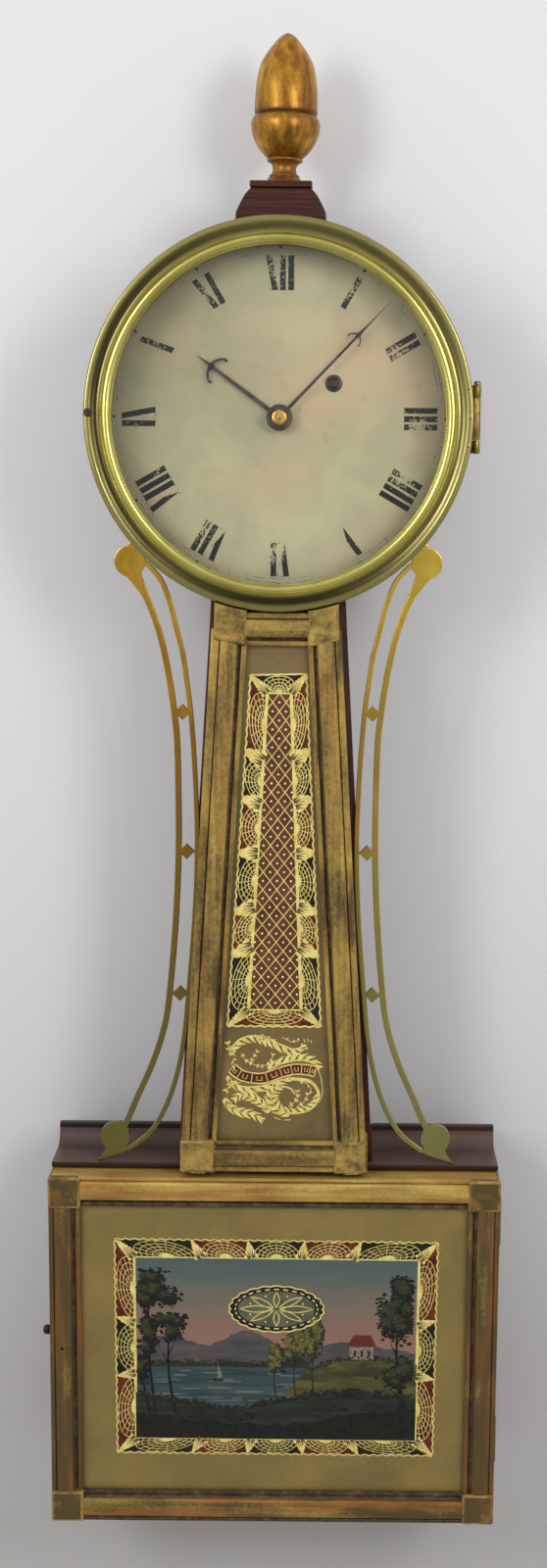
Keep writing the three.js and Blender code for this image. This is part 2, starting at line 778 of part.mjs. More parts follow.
function boxShelf() {
  const front = CARCASE_FRONT + BOX.lip;
  const coveSteps = 4;
  const cove = Array.from({ length: coveSteps + 1 }, (_, i) => {
    const angle = (QUARTER * i) / coveSteps;
    return [
      BOX.upstandDepth + BOX.cove * (1 - Math.sin(angle)),
      SHELF_TOP + BOX.cove * (1 - Math.cos(angle)),
    ];
  });
  const edge = BOX.lipThickness / 4;
  const section = [
    [INSIDE_BACK, SHELF_UNDERSIDE],
    [CARCASE_FRONT, SHELF_UNDERSIDE],
    [CARCASE_FRONT, SHELF_TOP - BOX.lipThickness],
    [front - edge, SHELF_TOP - BOX.lipThickness],
    [front, SHELF_TOP - BOX.lipThickness + edge],
    [front, SHELF_TOP - edge],
    [front - edge, SHELF_TOP],
    ...cove,
    [BOX.upstandDepth, UPSTAND_TOP],
    [INSIDE_BACK, UPSTAND_TOP],
  ];
  const board = sideways(section, -boxHalf, boxHalf);
  const foot = bodyHalf(SHELF_TOP) + SEAT;
  const seat = block(
    [-foot, foot],
    [INSIDE_BACK - OVERRUN, CARCASE_FRONT + OVERRUN],
    [SHELF_TOP, UPSTAND_TOP + OVERRUN],
  );
  const clear = foot - THROAT.wall - SEAT * 2;
  const opening = block(
    [-clear, clear],
    [INSIDE_BACK - OVERRUN, CARCASE_FRONT - BOX.shelfBar],
    [SHELF_UNDERSIDE - OVERRUN, SHELF_TOP + OVERRUN],
  );
  return cut(board, seat, opening);
}

function boxDoorFrame() {
  const half = DOOR_WIDTH / 2;
  const height = DOOR_THICKNESS - DOOR_BLOCK.proud;
  const up = new THREE.Vector3(0, 0, 1);
  const down = up.clone().negate();
  const rightwards = new THREE.Vector3(1, 0, 0);
  const leftwards = rightwards.clone().negate();
  const members = [
    member(height, [half, DOOR_BACK, DOOR_TOP], down, DOOR_WIDTH),
    member(height, [-half, DOOR_BACK, BOX_FLOOR], up, DOOR_WIDTH),
    member(height, [-half, DOOR_BACK, DOOR_TOP], rightwards, DOOR_HEIGHT),
    member(height, [half, DOOR_BACK, BOX_FLOOR], leftwards, DOOR_HEIGHT),
  ];
  const s = DOOR_BLOCK.side;
  const blocks = [
    [-half, BOX_FLOOR],
    [half - s, BOX_FLOOR],
    [-half, DOOR_TOP - s],
    [half - s, DOOR_TOP - s],
  ].map(([x, z]) => block([x, x + s], [DOOR_BACK, DOOR_FRONT], [z, z + s]));
  const inset = MOULDING.width - MOULDING.rebate;
  const rebate = block(
    [-half + inset, half - inset],
    [DOOR_BACK - OVERRUN, DOOR_BACK + MOULDING.glassBed],
    [BOX_FLOOR + inset, DOOR_TOP - inset],
  );
  const keyhole = turned(rod(KEYHOLE.radius, DOOR_FRONT - KEYHOLE.depth, DOOR_FRONT + OVERRUN), 10)
    .translate([-half + KEYHOLE.inset, 0, BOX_FLOOR + KEYHOLE.height]);
  const mortises = hingeHeights().map((z) => doorMortise(z));
  return cut(join(...members, ...blocks), rebate, keyhole, catchPocket(), ...mortises);
}

function boxTablet() {
  const inset = MOULDING.width - MOULDING.rebate + SEAT;
  const half = DOOR_WIDTH / 2 - inset;
  const front = DOOR_BACK + MOULDING.glassBed - SEAT;
  return block([-half, half], [front - GLASS_THICKNESS, front], [BOX_FLOOR + inset, DOOR_TOP - inset]);
}

const hingeHeights = () => [BOX_FLOOR + BUTT.lower, DOOR_TOP - BUTT.fromTop];
const mortiseSpan = (z) => {
  const spare = BUTT.head + SEAT * 2;
  return [z - spare, z + BUTT.length + spare];
};

function caseMortise(z) {
  return block(
    [boxHalf - BUTT.leaf - SEAT, boxHalf + OVERRUN],
    [CARCASE_FRONT - BUTT.thickness - SEAT, CARCASE_FRONT + OVERRUN],
    mortiseSpan(z),
  );
}

function doorMortise(z) {
  const half = DOOR_WIDTH / 2;
  return block(
    [boxHalf - BUTT.leaf - SEAT, half + OVERRUN],
    [DOOR_BACK - OVERRUN, DOOR_BACK + BUTT.thickness + SEAT],
    mortiseSpan(z),
  );
}

// A leaf lies on one side of the joint and carries two or one of three knuckles.
function buttLeaf(onDoor) {
  const third = BUTT.length / 3;
  const play = SEAT / 2;
  const [near, far] = onDoor
    ? [DOOR_BACK - SEAT / 3, DOOR_BACK + BUTT.thickness]
    : [CARCASE_FRONT - BUTT.thickness, CARCASE_FRONT + SEAT / 3];
  const plate = block([boxHalf - BUTT.leaf, BUTT_X], [near, far], [0, BUTT.length]);
  const barrel = (from, to) =>
    turnedUpright(rod(BUTT.knuckle, from, to), 12).translate([BUTT_X, -BUTT_DEPTH, 0]);
  const spans = onDoor
    ? [[third + play, 2 * third - play]]
    : [
        [0, third - play],
        [2 * third + play, BUTT.length],
      ];
  const open = onDoor
    ? [
        [-OVERRUN, third + play],
        [2 * third - play, BUTT.length + OVERRUN],
      ]
    : [[third - play, 2 * third + play]];
  const clear = open.map(([from, to]) =>
    turnedUpright(rod(BUTT.knuckle + SEAT, from, to), 12).translate([BUTT_X, -BUTT_DEPTH, 0]),
  );
  const bore = turnedUpright(rod(BUTT.pin + SEAT / 3, -OVERRUN, BUTT.length + OVERRUN), 12);
  const knuckles = spans.map(([from, to]) => barrel(from, to));
  return cut(join(cut(plate, ...clear), ...knuckles), bore.translate([BUTT_X, -BUTT_DEPTH, 0]));
}

function buttPin() {
  const top = BUTT.length + SEAT;
  return turnedUpright(
    [
      [0, -BUTT.head],
      [BUTT.pin, -BUTT.head],
      [BUTT.pin, top],
      [BUTT.knuckle, top],
      [BUTT.knuckle, top + BUTT.head],
      [0, top + BUTT.head],
    ],
    10,
  );
}

function boxLatch() {
  const outside = -boxHalf - SEAT - BOX_LATCH.plateThickness - SEAT;
  const inside = -boxHalf + BOX.wall + SEAT;
  const k = BOX_LATCH.knob;
  const profile = [
    [0, outside - BOX_LATCH.knobLength],
    [k * 0.6, outside - BOX_LATCH.knobLength],
    [k, outside - BOX_LATCH.knobLength * 0.8],
    [k, outside - BOX_LATCH.knobLength * 0.45],
    [BOX_LATCH.shank, outside],
    [BOX_LATCH.shank, inside + BOX_LATCH.tongueThickness],
    [0, inside + BOX_LATCH.tongueThickness],
  ];
  const shaft = turnedAcross(profile, 10);
  const tongue = block(
    [inside, inside + BOX_LATCH.tongueThickness],
    [-BOX_LATCH.tongueHalf, BOX_LATCH.tongueHalf],
    [-BOX_LATCH.tongueHalf, BOX_LATCH.tongue],
  );
  return join(shaft, tongue);
}

function boxLatchPlate() {
  const outside = -boxHalf - SEAT;
  return turnedAcross(
    tube(BOX_LATCH.plateHalf, BOX_LATCH.shank + RUNNING, outside - BOX_LATCH.plateThickness, outside),
    12,
  );
}

function catchPocket() {
  const play = RUNNING * 2;
  const inside = -boxHalf + BOX.wall + SEAT;
  const z = BOX_FLOOR + BOX_LATCH.height;
  return block(
    [inside - play, inside + BOX_LATCH.tongueThickness + play],
    [DOOR_BACK - OVERRUN, BOX_LATCH.depth + BOX_LATCH.tongue + play],
    [z - BOX_LATCH.tongueHalf - play, z + BOX_LATCH.tongue + play],
  );
}

// Side arms

// Places along the arm, as shares: of the way from the top disc to the foot disc,
// and of the way from the waist out to the disc at that end.
const OUTER_RAIL_SHARES = [
  [0, 0.96],
  [0.026, 0.89],
  [0.066, 0.62],
  [0.116, 0.4],
  [0.165, 0.25],
  [0.21, 0.155],
  [0.3, 0.024],
  [0.49, 0],
  [0.64, 0.055],
  [0.74, 0.14],
  [0.803, 0.23],
  [0.867, 0.41],
  [0.927, 0.645],
  [0.974, 0.82],
  [0.995, 0.93],
];
const INNER_RAIL_SHARES = [
  [-0.004, 0.88],
  [0.006, 0.73],
  [0.034, 0.52],
  [0.07, 0.395],
  [0.112, 0.305],
  [0.153, 0.21],
  [0.2, 0.15],
  [0.303, 0.055],
  [0.49, 0],
  [0.74, 0.105],
  [0.826, 0.165],
  [0.897, 0.262],
  [0.953, 0.405],
  [0.995, 0.585],
  [1.023, 0.845],
];
const DIAMOND_SHARES = [0.252, 0.492, 0.742];

function railCurve(shares, waist) {
  const places = shares.map(([along, across]) => {
    const disc = along < ARM.waistShare ? ARM_DISC_X : ARM_FOOT_X;
    return point(waist + (disc - waist) * across, ARM_DISC_Z - ARM_SPAN * along);
  });
  return new THREE.SplineCurve(places);
}

// A strip of even width along a curve.
function ribbon(curve, width, steps) {
  const sides = [[], []];
  for (let i = 0; i <= steps; i += 1) {
    const at = curve.getPoint(i / steps);
    const way = curve.getTangent(i / steps);
    sides[0].push([at.x - (way.y * width) / 2, at.y + (way.x * width) / 2]);
    sides[1].unshift([at.x + (way.y * width) / 2, at.y - (way.x * width) / 2]);
  }
  return outline([...sides[0], ...sides[1]]);
}

function sideArm(side) {
  const back = CARCASE_FRONT + SEAT;
  const front = back + ARM.thickness;
  const outer = railCurve(OUTER_RAIL_SHARES, OUTER_WAIST);
  const inner = railCurve(INNER_RAIL_SHARES, INNER_WAIST);
  const disc = (x, z) =>
    turned(rod(ARM.discRadius, back, front), 16).translate([x, 0, z]);
  const tip = new THREE.Shape();
  const tipZ = SHELF_TOP + SEAT;
  const r = ARM.discRadius;
  tip.moveTo(ARM_FOOT_X - r * 0.98, ARM_FOOT_Z - r * 0.72);
  tip.quadraticCurveTo(ARM_FOOT_X, tipZ + r * 0.12, ARM_TIP_X, tipZ);
  tip.quadraticCurveTo(ARM_FOOT_X + r, tipZ + r * 0.6, ARM_FOOT_X + r * 0.75, ARM_FOOT_Z - r * 0.55);
  tip.lineTo(ARM_FOOT_X, ARM_FOOT_Z);
  tip.closePath();
  const diamonds = DIAMOND_SHARES.map((share) => {
    const z = ARM_DISC_Z - ARM_SPAN * share;
    const left = nearest(inner, z);
    const right = nearest(outer, z);
    const middle = (left + right) / 2;
    const half = ARM.diamondHalf;
    return frontal(
      outline([
        [left - ARM.innerWidth / 4, z],
        [middle, z - half],
        [right + ARM.outerWidth / 4, z],
        [middle, z + half],
      ]),
      back,
      front,
    );
  });
  const arm = join(
    frontal(ribbon(outer, ARM.outerWidth, 16), back, front),
    frontal(ribbon(inner, ARM.innerWidth, 18), back, front),
    disc(ARM_DISC_X, ARM_DISC_Z),
    disc(ARM_FOOT_X, ARM_FOOT_Z),
    frontal(tip, back, front, 6),
    armLug(back, front),
    ...diamonds,
  );
  const holed = cut(arm, armScrewHole());
  return side > 0 ? holed : holed.mirror([1, 0, 0]);
}

// The x where a rail passes a height.
function nearest(curve, z) {
  const steps = 200;
  let best = curve.getPoint(0);
  for (let i = 1; i <= steps; i += 1) {
    const at = curve.getPoint(i / steps);
    if (Math.abs(at.y - z) < Math.abs(best.y - z)) best = at;
  }
  return best.x;
}

// The lug lies along the head's side and carries the screw.
function armLug(back, front) {
  const near = HEAD.radius + SEAT;
  const far = near + ARM.lugThickness;
  const shape = new THREE.Shape();
  const from = LUG_ANGLE - ARM.lugSpread / 2;
  const to = LUG_ANGLE + ARM.lugSpread / 2;
  shape.absarc(0, 0, far, from, to, false);
  shape.absarc(0, 0, near, to, from, true);
  shape.closePath();
  const strap = frontal(shape, back - ARM.lugDepth, back, 3);
  const bridgeShape = new THREE.Shape();
  const reach = BEZEL_RADIUS + SEAT;
  bridgeShape.absarc(0, 0, far + ARM.lugThickness * 2, from, to, false);
  bridgeShape.absarc(0, 0, reach, to, from, true);
  bridgeShape.closePath();
  return join(strap, frontal(bridgeShape, back - SEAT, front, 3));
}

// A screw that points at the hands, at the middle of the lug.
function armScrewTool(points, sides) {
  const d = CARCASE_FRONT - ARM.lugDepth / 2;
  return turnedAcross(points, sides)
    .rotate([0, (-LUG_ANGLE * 180) / Math.PI, 0])
    .translate([0, -d, 0]);
}

function armScrewHole() {
  const from = HEAD.radius - ARM_SCREW.length - OVERRUN;
  const to = HEAD.radius + ARM.lugThickness + OVERRUN;
  return armScrewTool(rod(ARM_SCREW.shank + SEAT, from, to), 8);
}

function armScrewHoles() {
  const hole = armScrewHole();
  return [hole, hole.mirror([1, 0, 0])];
}

function armScrew(side) {
  const seat = HEAD.radius + SEAT + ARM.lugThickness + SEAT;
  const r = ARM_SCREW.headRadius;
  const screw = armScrewTool(
    [
      [0, seat - ARM.lugThickness - ARM_SCREW.length],
      [ARM_SCREW.shank, seat - ARM.lugThickness - ARM_SCREW.length],
      [ARM_SCREW.shank, seat],
      [r, seat],
      [r * 0.8, seat + ARM_SCREW.headHeight * 0.7],
      [r * 0.4, seat + ARM_SCREW.headHeight],
      [0, seat + ARM_SCREW.headHeight],
    ],
    10,
  );
  return side > 0 ? screw : screw.mirror([1, 0, 0]);
}

// Bezel

function bezel() {
  const wall = BEZEL_RADIUS - BEZEL.wall;
  const bed = BEZEL.glassDepth + SEAT;
  const section = BEZEL_SECTION.map(([inset, drop]) => [BEZEL_RADIUS - inset, DOOR_FRONT - drop]);
  const ring = turned(
    [
      [wall, DOOR_BACK],
      [BEZEL_RADIUS, DOOR_BACK],
      ...section,
      [SIGHT_RADIUS, bed + BEZEL.lip],
      [SIGHT_RADIUS, bed],
      [wall, bed],
    ],
    ROUND,
  );
  const hole = turned(rod(LATCH.shank + RUNNING, DOOR_BACK - OVERRUN, DOOR_FRONT + OVERRUN), 10);
  return cut(ring, hole.translate([LATCH_X, 0, LATCH.z]));
}

// A domed glass with a flat rim behind the bezel's lip.
function bezelGlass() {
  const steps = 3;
  const edge = SIGHT_RADIUS - SEAT * 2;
  const arc = (base) => {
    const dome = Array.from({ length: steps + 1 }, (_, i) => {
      const share = i / steps;
      return [edge * share, base + BEZEL.glassRise * (1 - share * share)];
    });
    return [...dome, [GLASS_RADIUS, base]];
  };
  const inner = arc(BEZEL.glassDepth - GLASS_THICKNESS);
  return turned([...inner, ...arc(BEZEL.glassDepth).reverse()], 32);
}

function bezelLatch() {
  const seat = DOOR_FRONT + SEAT;
  const head = turned(
    [
      [0, LATCH.tongueDepth],
      [LATCH.shank, LATCH.tongueDepth],
      [LATCH.shank, seat],
      [LATCH.head, seat],
      [LATCH.head, seat + LATCH.headHeight * 0.6],
      [LATCH.head * 0.7, seat + LATCH.headHeight],
      [0, seat + LATCH.headHeight],
    ],
    12,
  );
  const tongue = block(
    [-LATCH.tongueHalf, LATCH.tongueHalf],
    [LATCH.tongueDepth, LATCH.tongueDepth + LATCH.tongueThickness],
    [-LATCH.tongueHalf, LATCH.tongue],
  );
  const slot = block(
    [-LATCH.head * 2, LATCH.head * 2],
    [seat + LATCH.headHeight * 0.4, seat + LATCH.headHeight + OVERRUN],
    [-LATCH.slotWidth / 2, LATCH.slotWidth / 2],
  );
  return cut(join(head, tongue), slot);
}

// One leaf of the bezel hinge: onBezel carries the middle knuckle.
function bezelHingeLeaf(onBezel) {
  const play = HINGE.knuckleGap / 2;
  const half = HINGE.leafHalf;
  const mid = HINGE.middleHalf;
  const spans = onBezel
    ? [[-mid + play, mid - play]]
    : [
        [-half, -mid - play],
        [mid + play, half],
      ];
  const wingX = onBezel ? BEZEL_RADIUS + SEAT : HINGE_LEAF_X - HINGE.leafThickness;
  const web = onBezel
    ? outline([
        [wingX, -DOOR_BACK - HINGE.leafThickness * 2],
        [HINGE_X, -HINGE_DEPTH - HINGE.knuckle],
        [HINGE_X, -HINGE_DEPTH],
        [wingX, -DOOR_BACK - SEAT],
      ])
    : outline([
        [wingX, -CARCASE_FRONT + HINGE.leafDepth / 3],
        [HINGE_LEAF_X, -CARCASE_FRONT + HINGE.leafDepth / 3],
        [HINGE_X + HINGE.knuckle * 0.7, -HINGE_DEPTH + HINGE.knuckle * 0.7],
        [HINGE_X, -HINGE_DEPTH],
        [HINGE_X - HINGE.knuckle * 0.9, -HINGE_DEPTH + HINGE.knuckle * 0.4],
        [HINGE_LEAF_X, -CARCASE_FRONT + SEAT],
        [wingX, -CARCASE_FRONT + SEAT],
      ]);
  const parts = spans.flatMap(([from, to]) => [
    upright(web, from, to),
    turnedUpright(rod(HINGE.knuckle, from, to), 14).translate([HINGE_X, -HINGE_DEPTH, 0]),
  ]);
  const wingDepth = onBezel
    ? [DOOR_BACK + SEAT, DOOR_BACK + HINGE.leafDepth]
    : [CARCASE_FRONT - HINGE.leafDepth, CARCASE_FRONT - SEAT];
  const wingHeight = onBezel ? spans[0] : [-half, half];
  const wing = block([wingX, wingX + HINGE.leafThickness], wingDepth, wingHeight);
  const bore = turnedUpright(rod(HINGE.pin + SEAT / 3, -half - OVERRUN, half + OVERRUN), 12);
  return cut(join(wing, ...parts), bore.translate([HINGE_X, -HINGE_DEPTH, 0]));
}

function bezelHingePin() {
  const end = HINGE.leafHalf + SEAT;
  const cap = HINGE.knuckle * 0.8;
  return turnedUpright(
    [
      [0, -end],
      [HINGE.pin, -end],
      [HINGE.pin, end],
      [HINGE.knuckle, end],
      [cap, end + cap],
      [0, end + cap * 1.2],
    ],
    12,
  );
}

// Dial and hands

function dial() {
  const back = HEAD.dialDepth + SEAT;
  const disc = turned(rod(DIAL_RADIUS, back, back + DIAL.thickness), ROUND);
  const arborHole = turned(rod(DIAL.arborHole, back - OVERRUN, back + OVERRUN * 2), 20);
  const windingHole = turned(rod(GROMMET.radius - GROMMET.lip, back - OVERRUN, back + OVERRUN * 2), 18);
  return cut(disc, arborHole, windingHole.translate([WINDING.x, 0, WINDING.z]));
}

function grommet() {
  const back = HEAD.dialDepth + SEAT;
  const front = back + DIAL.thickness + SEAT;
  return turned(
    [
      [GROMMET.bore, back],
      [GROMMET.radius - GROMMET.lip - SEAT, back],
      [GROMMET.radius - GROMMET.lip - SEAT, front],
      [GROMMET.radius, front],
      [GROMMET.radius, front + GROMMET.lip / 2],
      [GROMMET.radius - GROMMET.lip, front + GROMMET.lip],
      [GROMMET.bore, front + GROMMET.lip],
    ],
    18,
  );
}

// Half outlines of the hands: shares of the length out from the arbor, then half widths as shares too.
const HOUR_HALF_SHARES = [
  [0.07, 0.055],
  [0.2, 0.036],
  [0.62, 0.03],
  [0.7, 0.036],
  [0.72, 0.2],
  [0.76, 0.24],
  [0.8, 0.22],
  [0.79, 0.17],
  [0.84, 0.1],
  [0.9, 0.045],
];
const MINUTE_HALF_SHARES = [
  [0.05, 0.034],
  [0.16, 0.017],
  [0.6, 0.014],
  [0.665, 0.016],
  [0.67, 0.09],
  [0.7, 0.105],
  [0.715, 0.075],
  [0.75, 0.035],
  [0.88, 0.015],
];

function hand(length, shares, collar, bore) {
  const right = shares.map(([along, half]) => [half * length, along * length]);
  const left = right.map(([x, z]) => [-x, z]).reverse();
  const blade = frontal(outline([...right, [0, length], ...left]), 0, HAND.thickness);
  const boss = turned(rod(collar, 0, HAND.thickness), 16);
  const hole = turned(rod(bore, -OVERRUN, HAND.thickness + OVERRUN), 12);
  return cut(join(blade, boss), hole);
}

// Movement

// Wheels have pointed teeth and pinions narrow leaves.
function wheelShape(teeth, module) {
  const pitch = TURN / teeth;
  const root = (teeth * module) / 2 - TOOTH.dedendum * module;
  const tip = (teeth * module) / 2 + TOOTH.addendum * module;
  const points = [];
  for (let i = 0; i < teeth; i += 1) {
    points.push(polar(root, (i - 0.5) * pitch));
    points.push(polar(tip, i * pitch));
  }
  return outline(points);
}

function pinionShape(leaves, module) {
  const pitch = TURN / leaves;
  const middle = (leaves * module) / 2;
  const root = middle - LEAF.dedendum * module;
  const tip = middle + LEAF.addendum * module;
  const points = [];
  for (let i = 0; i < leaves; i += 1) {
    const ring = [
      [root, -LEAF.rootShare],
      [tip, -LEAF.tipShare],
      [tip, LEAF.tipShare],
      [root, LEAF.rootShare],
    ];
    ring.forEach(([radius, share]) => points.push(polar(radius, (i + share) * pitch)));
  }
  return outline(points);
}

// Angle zero points up and angles run clockwise, as on the dial.
const polar = (radius, angle) => [radius * Math.sin(angle), radius * Math.cos(angle)];

const moduleOf = (distance, wheel, pinion) => (2 * distance) / (wheel + pinion);

// Turns a gear so that it meshes with its driver: angles clockwise from up.
function meshTurn(driver, driven, driverTeeth, drivenTeeth, driverTurn) {
  const way = Math.atan2(driven[0] - driver[0], driven[1] - driver[1]);
  const share = ((way - driverTurn) * driverTeeth) / TURN;
  return way + Math.PI - ((0.5 - share) * TURN) / drivenTeeth;
}

// A wheel lightened by four crossings.
function crossedWheel(teeth, module, hub, rim) {
  const shape = wheelShape(teeth, module);
  const outer = (teeth * module) / 2 - TOOTH.dedendum * module - rim;
  const arms = 4;
  const gap = TURN / arms;
  for (let i = 0; i < arms; i += 1) {
    const window = new THREE.Path();
    const spare = rim / 2;
    const outerHalf = gap / 2 - spare / outer;
    const innerHalf = gap / 2 - spare / hub;
    const middle = (i + 0.5) * gap;
    window.absarc(0, 0, outer, middle - outerHalf, middle + outerHalf, false);
    window.absarc(0, 0, hub, middle + innerHalf, middle - innerHalf, true);
    window.closePath();
    shape.holes.push(window);
  }
  return shape;
}

function movementPlate(isBack) {
  const p = PLATE;
  const c = p.corner;
  const shape = outline([
    [-p.left + c, -p.bottom],
    [p.right - c, -p.bottom],
    [p.right, -p.bottom + c],
    [p.right, p.top - p.shoulder],
    [p.right - p.shoulder, p.top],
    [-p.left + c, p.top],
    [-p.left, p.top - c],
    [-p.left, -p.bottom + c],
  ]);
  const plate = frontal(shape, 0, p.thickness);
  const bores = [
    [[0, 0], !isBack],
    [windingPlace, !isBack],
    [thirdPlace, false],
    [escapePlace, false],
    [[0, VERGE_RISE], false],
  ];
  const holes = bores.map(([place, wide]) =>
    plateHole(place, wide ? ARBOR_RADIUS * 2 : PIVOT.hole),
  );
  const screws = MOVEMENT_SCREW.places.map((place) =>
    plateHole(place, MOVEMENT_SCREW.shank + SEAT),
  );
  const drilled = cut(plate, ...holes, ...screws);
  const pillars = pillarPlaces().map(([x, z]) => pillarAt(x, z, isBack));
  if (isBack) return join(drilled, ...pillars);
  const post = turned(
    rod(LINE_POST.radius, LINE_POST.back - FRONT_PLATE, p.thickness / 2),
    10,
  );
  return join(cut(drilled, ...pillars), post.translate([STANDING_X, 0, LINE_POST.z]));
}

function plateHole([x, z], radius) {
  const hole = turned(rod(radius, -OVERRUN, PLATE.thickness + OVERRUN), 8);
  return hole.translate([x, 0, z]);
}

const pillarPlaces = () => {
  const right = PLATE.right - PILLAR.inset;
  const left = -PLATE.left + PILLAR.inset;
  const bottom = -PLATE.bottom + PILLAR.inset;
  const top = PLATE.top - PILLAR.inset;
  const shoulder = PLATE.shoulder / 2 - PILLAR.inset / 2;
  return [
    [left, bottom],
    [right, bottom],
    [left, top],
    [right - shoulder, top - shoulder],
  ];
};

// The pillar itself, riveted to the back plate, or the hole for its end in the front plate.
function pillarAt(x, z, whole) {
  const r = PILLAR.radius;
  const end = r / 2;
  const face = PLATE.thickness + PLATE_SPACE - SEAT;
  const tip = face + PLATE.thickness + SEAT * 3;
  const points = whole
    ? [
        [0, PLATE.thickness / 2],
        [r, PLATE.thickness / 2],
        [r * 0.75, PLATE.thickness + PLATE_SPACE / 2],
        [r, face],
        [end, face],
        [end, tip],
        [0, tip],
      ]
    : rod(end + SEAT, -OVERRUN, PLATE.thickness + OVERRUN);
  return turned(points, 8).translate([x, 0, z]);
}

function movementScrew() {
  const from = BACKBOARD_THICKNESS + SEAT;
  const seat = FRONT_PLATE + PLATE.thickness + SEAT;
  return turned(
    [
      [0, from],
      [MOVEMENT_SCREW.shank, from],
      [MOVEMENT_SCREW.shank, seat],
      [MOVEMENT_SCREW.head, seat],
      [MOVEMENT_SCREW.head, seat + MOVEMENT_SCREW.headHeight / 2],
      [MOVEMENT_SCREW.head / 2, seat + MOVEMENT_SCREW.headHeight],
      [0, seat + MOVEMENT_SCREW.headHeight],
    ],
    12,
  );
}

const thirdPlace = (() => {
  const z =
    (THIRD_DISTANCE ** 2 - ESCAPE_DISTANCE ** 2 + ESCAPE_RISE ** 2) / (2 * ESCAPE_RISE);
  return [-Math.sqrt(THIRD_DISTANCE ** 2 - z * z), z];
})();
const escapePlace = [0, ESCAPE_RISE];
const windingPlace = [WINDING.x, WINDING.z];
const minutePlace = [-MINUTE_DISTANCE, 0];

const GREAT_MODULE = moduleOf(Math.hypot(WINDING.x, WINDING.z), TEETH.great, TEETH.centrePinion);
const CENTRE_MODULE = moduleOf(THIRD_DISTANCE, TEETH.centre, TEETH.thirdPinion);
const THIRD_MODULE = moduleOf(ESCAPE_DISTANCE, TEETH.third, TEETH.escapePinion);
const CANNON_MODULE = moduleOf(MINUTE_DISTANCE, TEETH.cannon, TEETH.minute);
const HOUR_MODULE = moduleOf(MINUTE_DISTANCE, TEETH.hour, TEETH.minutePinion);

const GREAT_TURN = meshTurn([0, 0], windingPlace, TEETH.centrePinion, TEETH.great, 0);
const THIRD_TURN = meshTurn([0, 0], thirdPlace, TEETH.centre, TEETH.thirdPinion, 0);
const ESCAPE_TURN = meshTurn(thirdPlace, escapePlace, TEETH.third, TEETH.escapePinion, THIRD_TURN);
const MINUTE_TURN = meshTurn([0, 0], minutePlace, TEETH.cannon, TEETH.minute, 0);
const HOUR_TURN = meshTurn(minutePlace, [0, 0], TEETH.minutePinion, TEETH.hour, MINUTE_TURN);

// An arbor between the plates with a pivot at each end, (radius, depth).
const pivotEnd = SEAT;
function arbor(radius = ARBOR_RADIUS) {
  const back = BACK_PLATE + PLATE.thickness + pivotEnd;
  const front = FRONT_PLATE - pivotEnd;
  return turned(
    [
      [0, BACK_PLATE + SEAT],
      [PIVOT.radius, BACK_PLATE + SEAT],
      [PIVOT.radius, back],
      [radius, back],
      [radius, front],
      [PIVOT.radius, front],
      [PIVOT.radius, FRONT_PLATE + PLATE.thickness],
      [0, FRONT_PLATE + PLATE.thickness],
    ],
    8,
  );
}

function leaves(count, module, middle) {
  return frontal(pinionShape(count, module), middle - LEAF_LENGTH / 2, middle + LEAF_LENGTH / 2);
}

function greatWheel() {
  const back = PLANE.great - GREAT_THICKNESS / 2;
  const disc = frontal(wheelShape(TEETH.great, GREAT_MODULE), back, back + GREAT_THICKNESS);
  const bore = turned(rod(DRUM.flange / 4 + RUNNING, back - OVERRUN, back + OVERRUN * 2), 10);
  return cut(disc, bore);
}

// Drum, ratchet, arbor and winding square in one piece.
function windingDrum() {
  const gutSeat = GUT_RADIUS / 2;
  const back = BACK_PLATE + PLATE.thickness + pivotEnd;
  const core = turned(
    [
      [0, BACK_PLATE + SEAT],
      [PIVOT.radius, BACK_PLATE + SEAT],
      [PIVOT.radius, back],
      [DRUM.flange / 4, back],
      [DRUM.flange / 4, PLANE.drumBack],
      [DRUM.flange, PLANE.drumBack],
      [DRUM.flange, PLANE.drumBack + DRUM.flangeThickness],
      [DRUM.radius - gutSeat, PLANE.drumBack + DRUM.flangeThickness],
      [DRUM.radius - gutSeat, PLANE.drumFront - DRUM.flangeThickness],
      [DRUM.flange / 4, PLANE.drumFront - DRUM.flangeThickness],
      [DRUM.flange / 4, FRONT_PLATE - pivotEnd],
      [ARBOR_RADIUS * 2 - RUNNING, FRONT_PLATE - pivotEnd],
      [ARBOR_RADIUS * 2 - RUNNING, HEAD.dialDepth - SQUARE.length],
      [0, HEAD.dialDepth - SQUARE.length],
    ],
    12,
  );
  const half = SQUARE.side / 2;
  const square = block(
    [-half, half],
    [HEAD.dialDepth - SQUARE.length - SEAT, HEAD.dialDepth + DIAL.thickness],
    [-half, half],
  );
  const pitch = TURN / DRUM.ratchetTeeth;
  const ratchetPoints = [];
  for (let i = 0; i < DRUM.ratchetTeeth; i += 1) {
    ratchetPoints.push(polar(DRUM.flange, i * pitch));
    ratchetPoints.push(polar(DRUM.flange - DRUM.flangeThickness, (i + 0.9) * pitch));
  }
  const ratchet = frontal(
    outline(ratchetPoints),
    PLANE.drumFront - DRUM.flangeThickness - SEAT,
    PLANE.drumFront,
  );
  return join(core, square, ratchet);
}

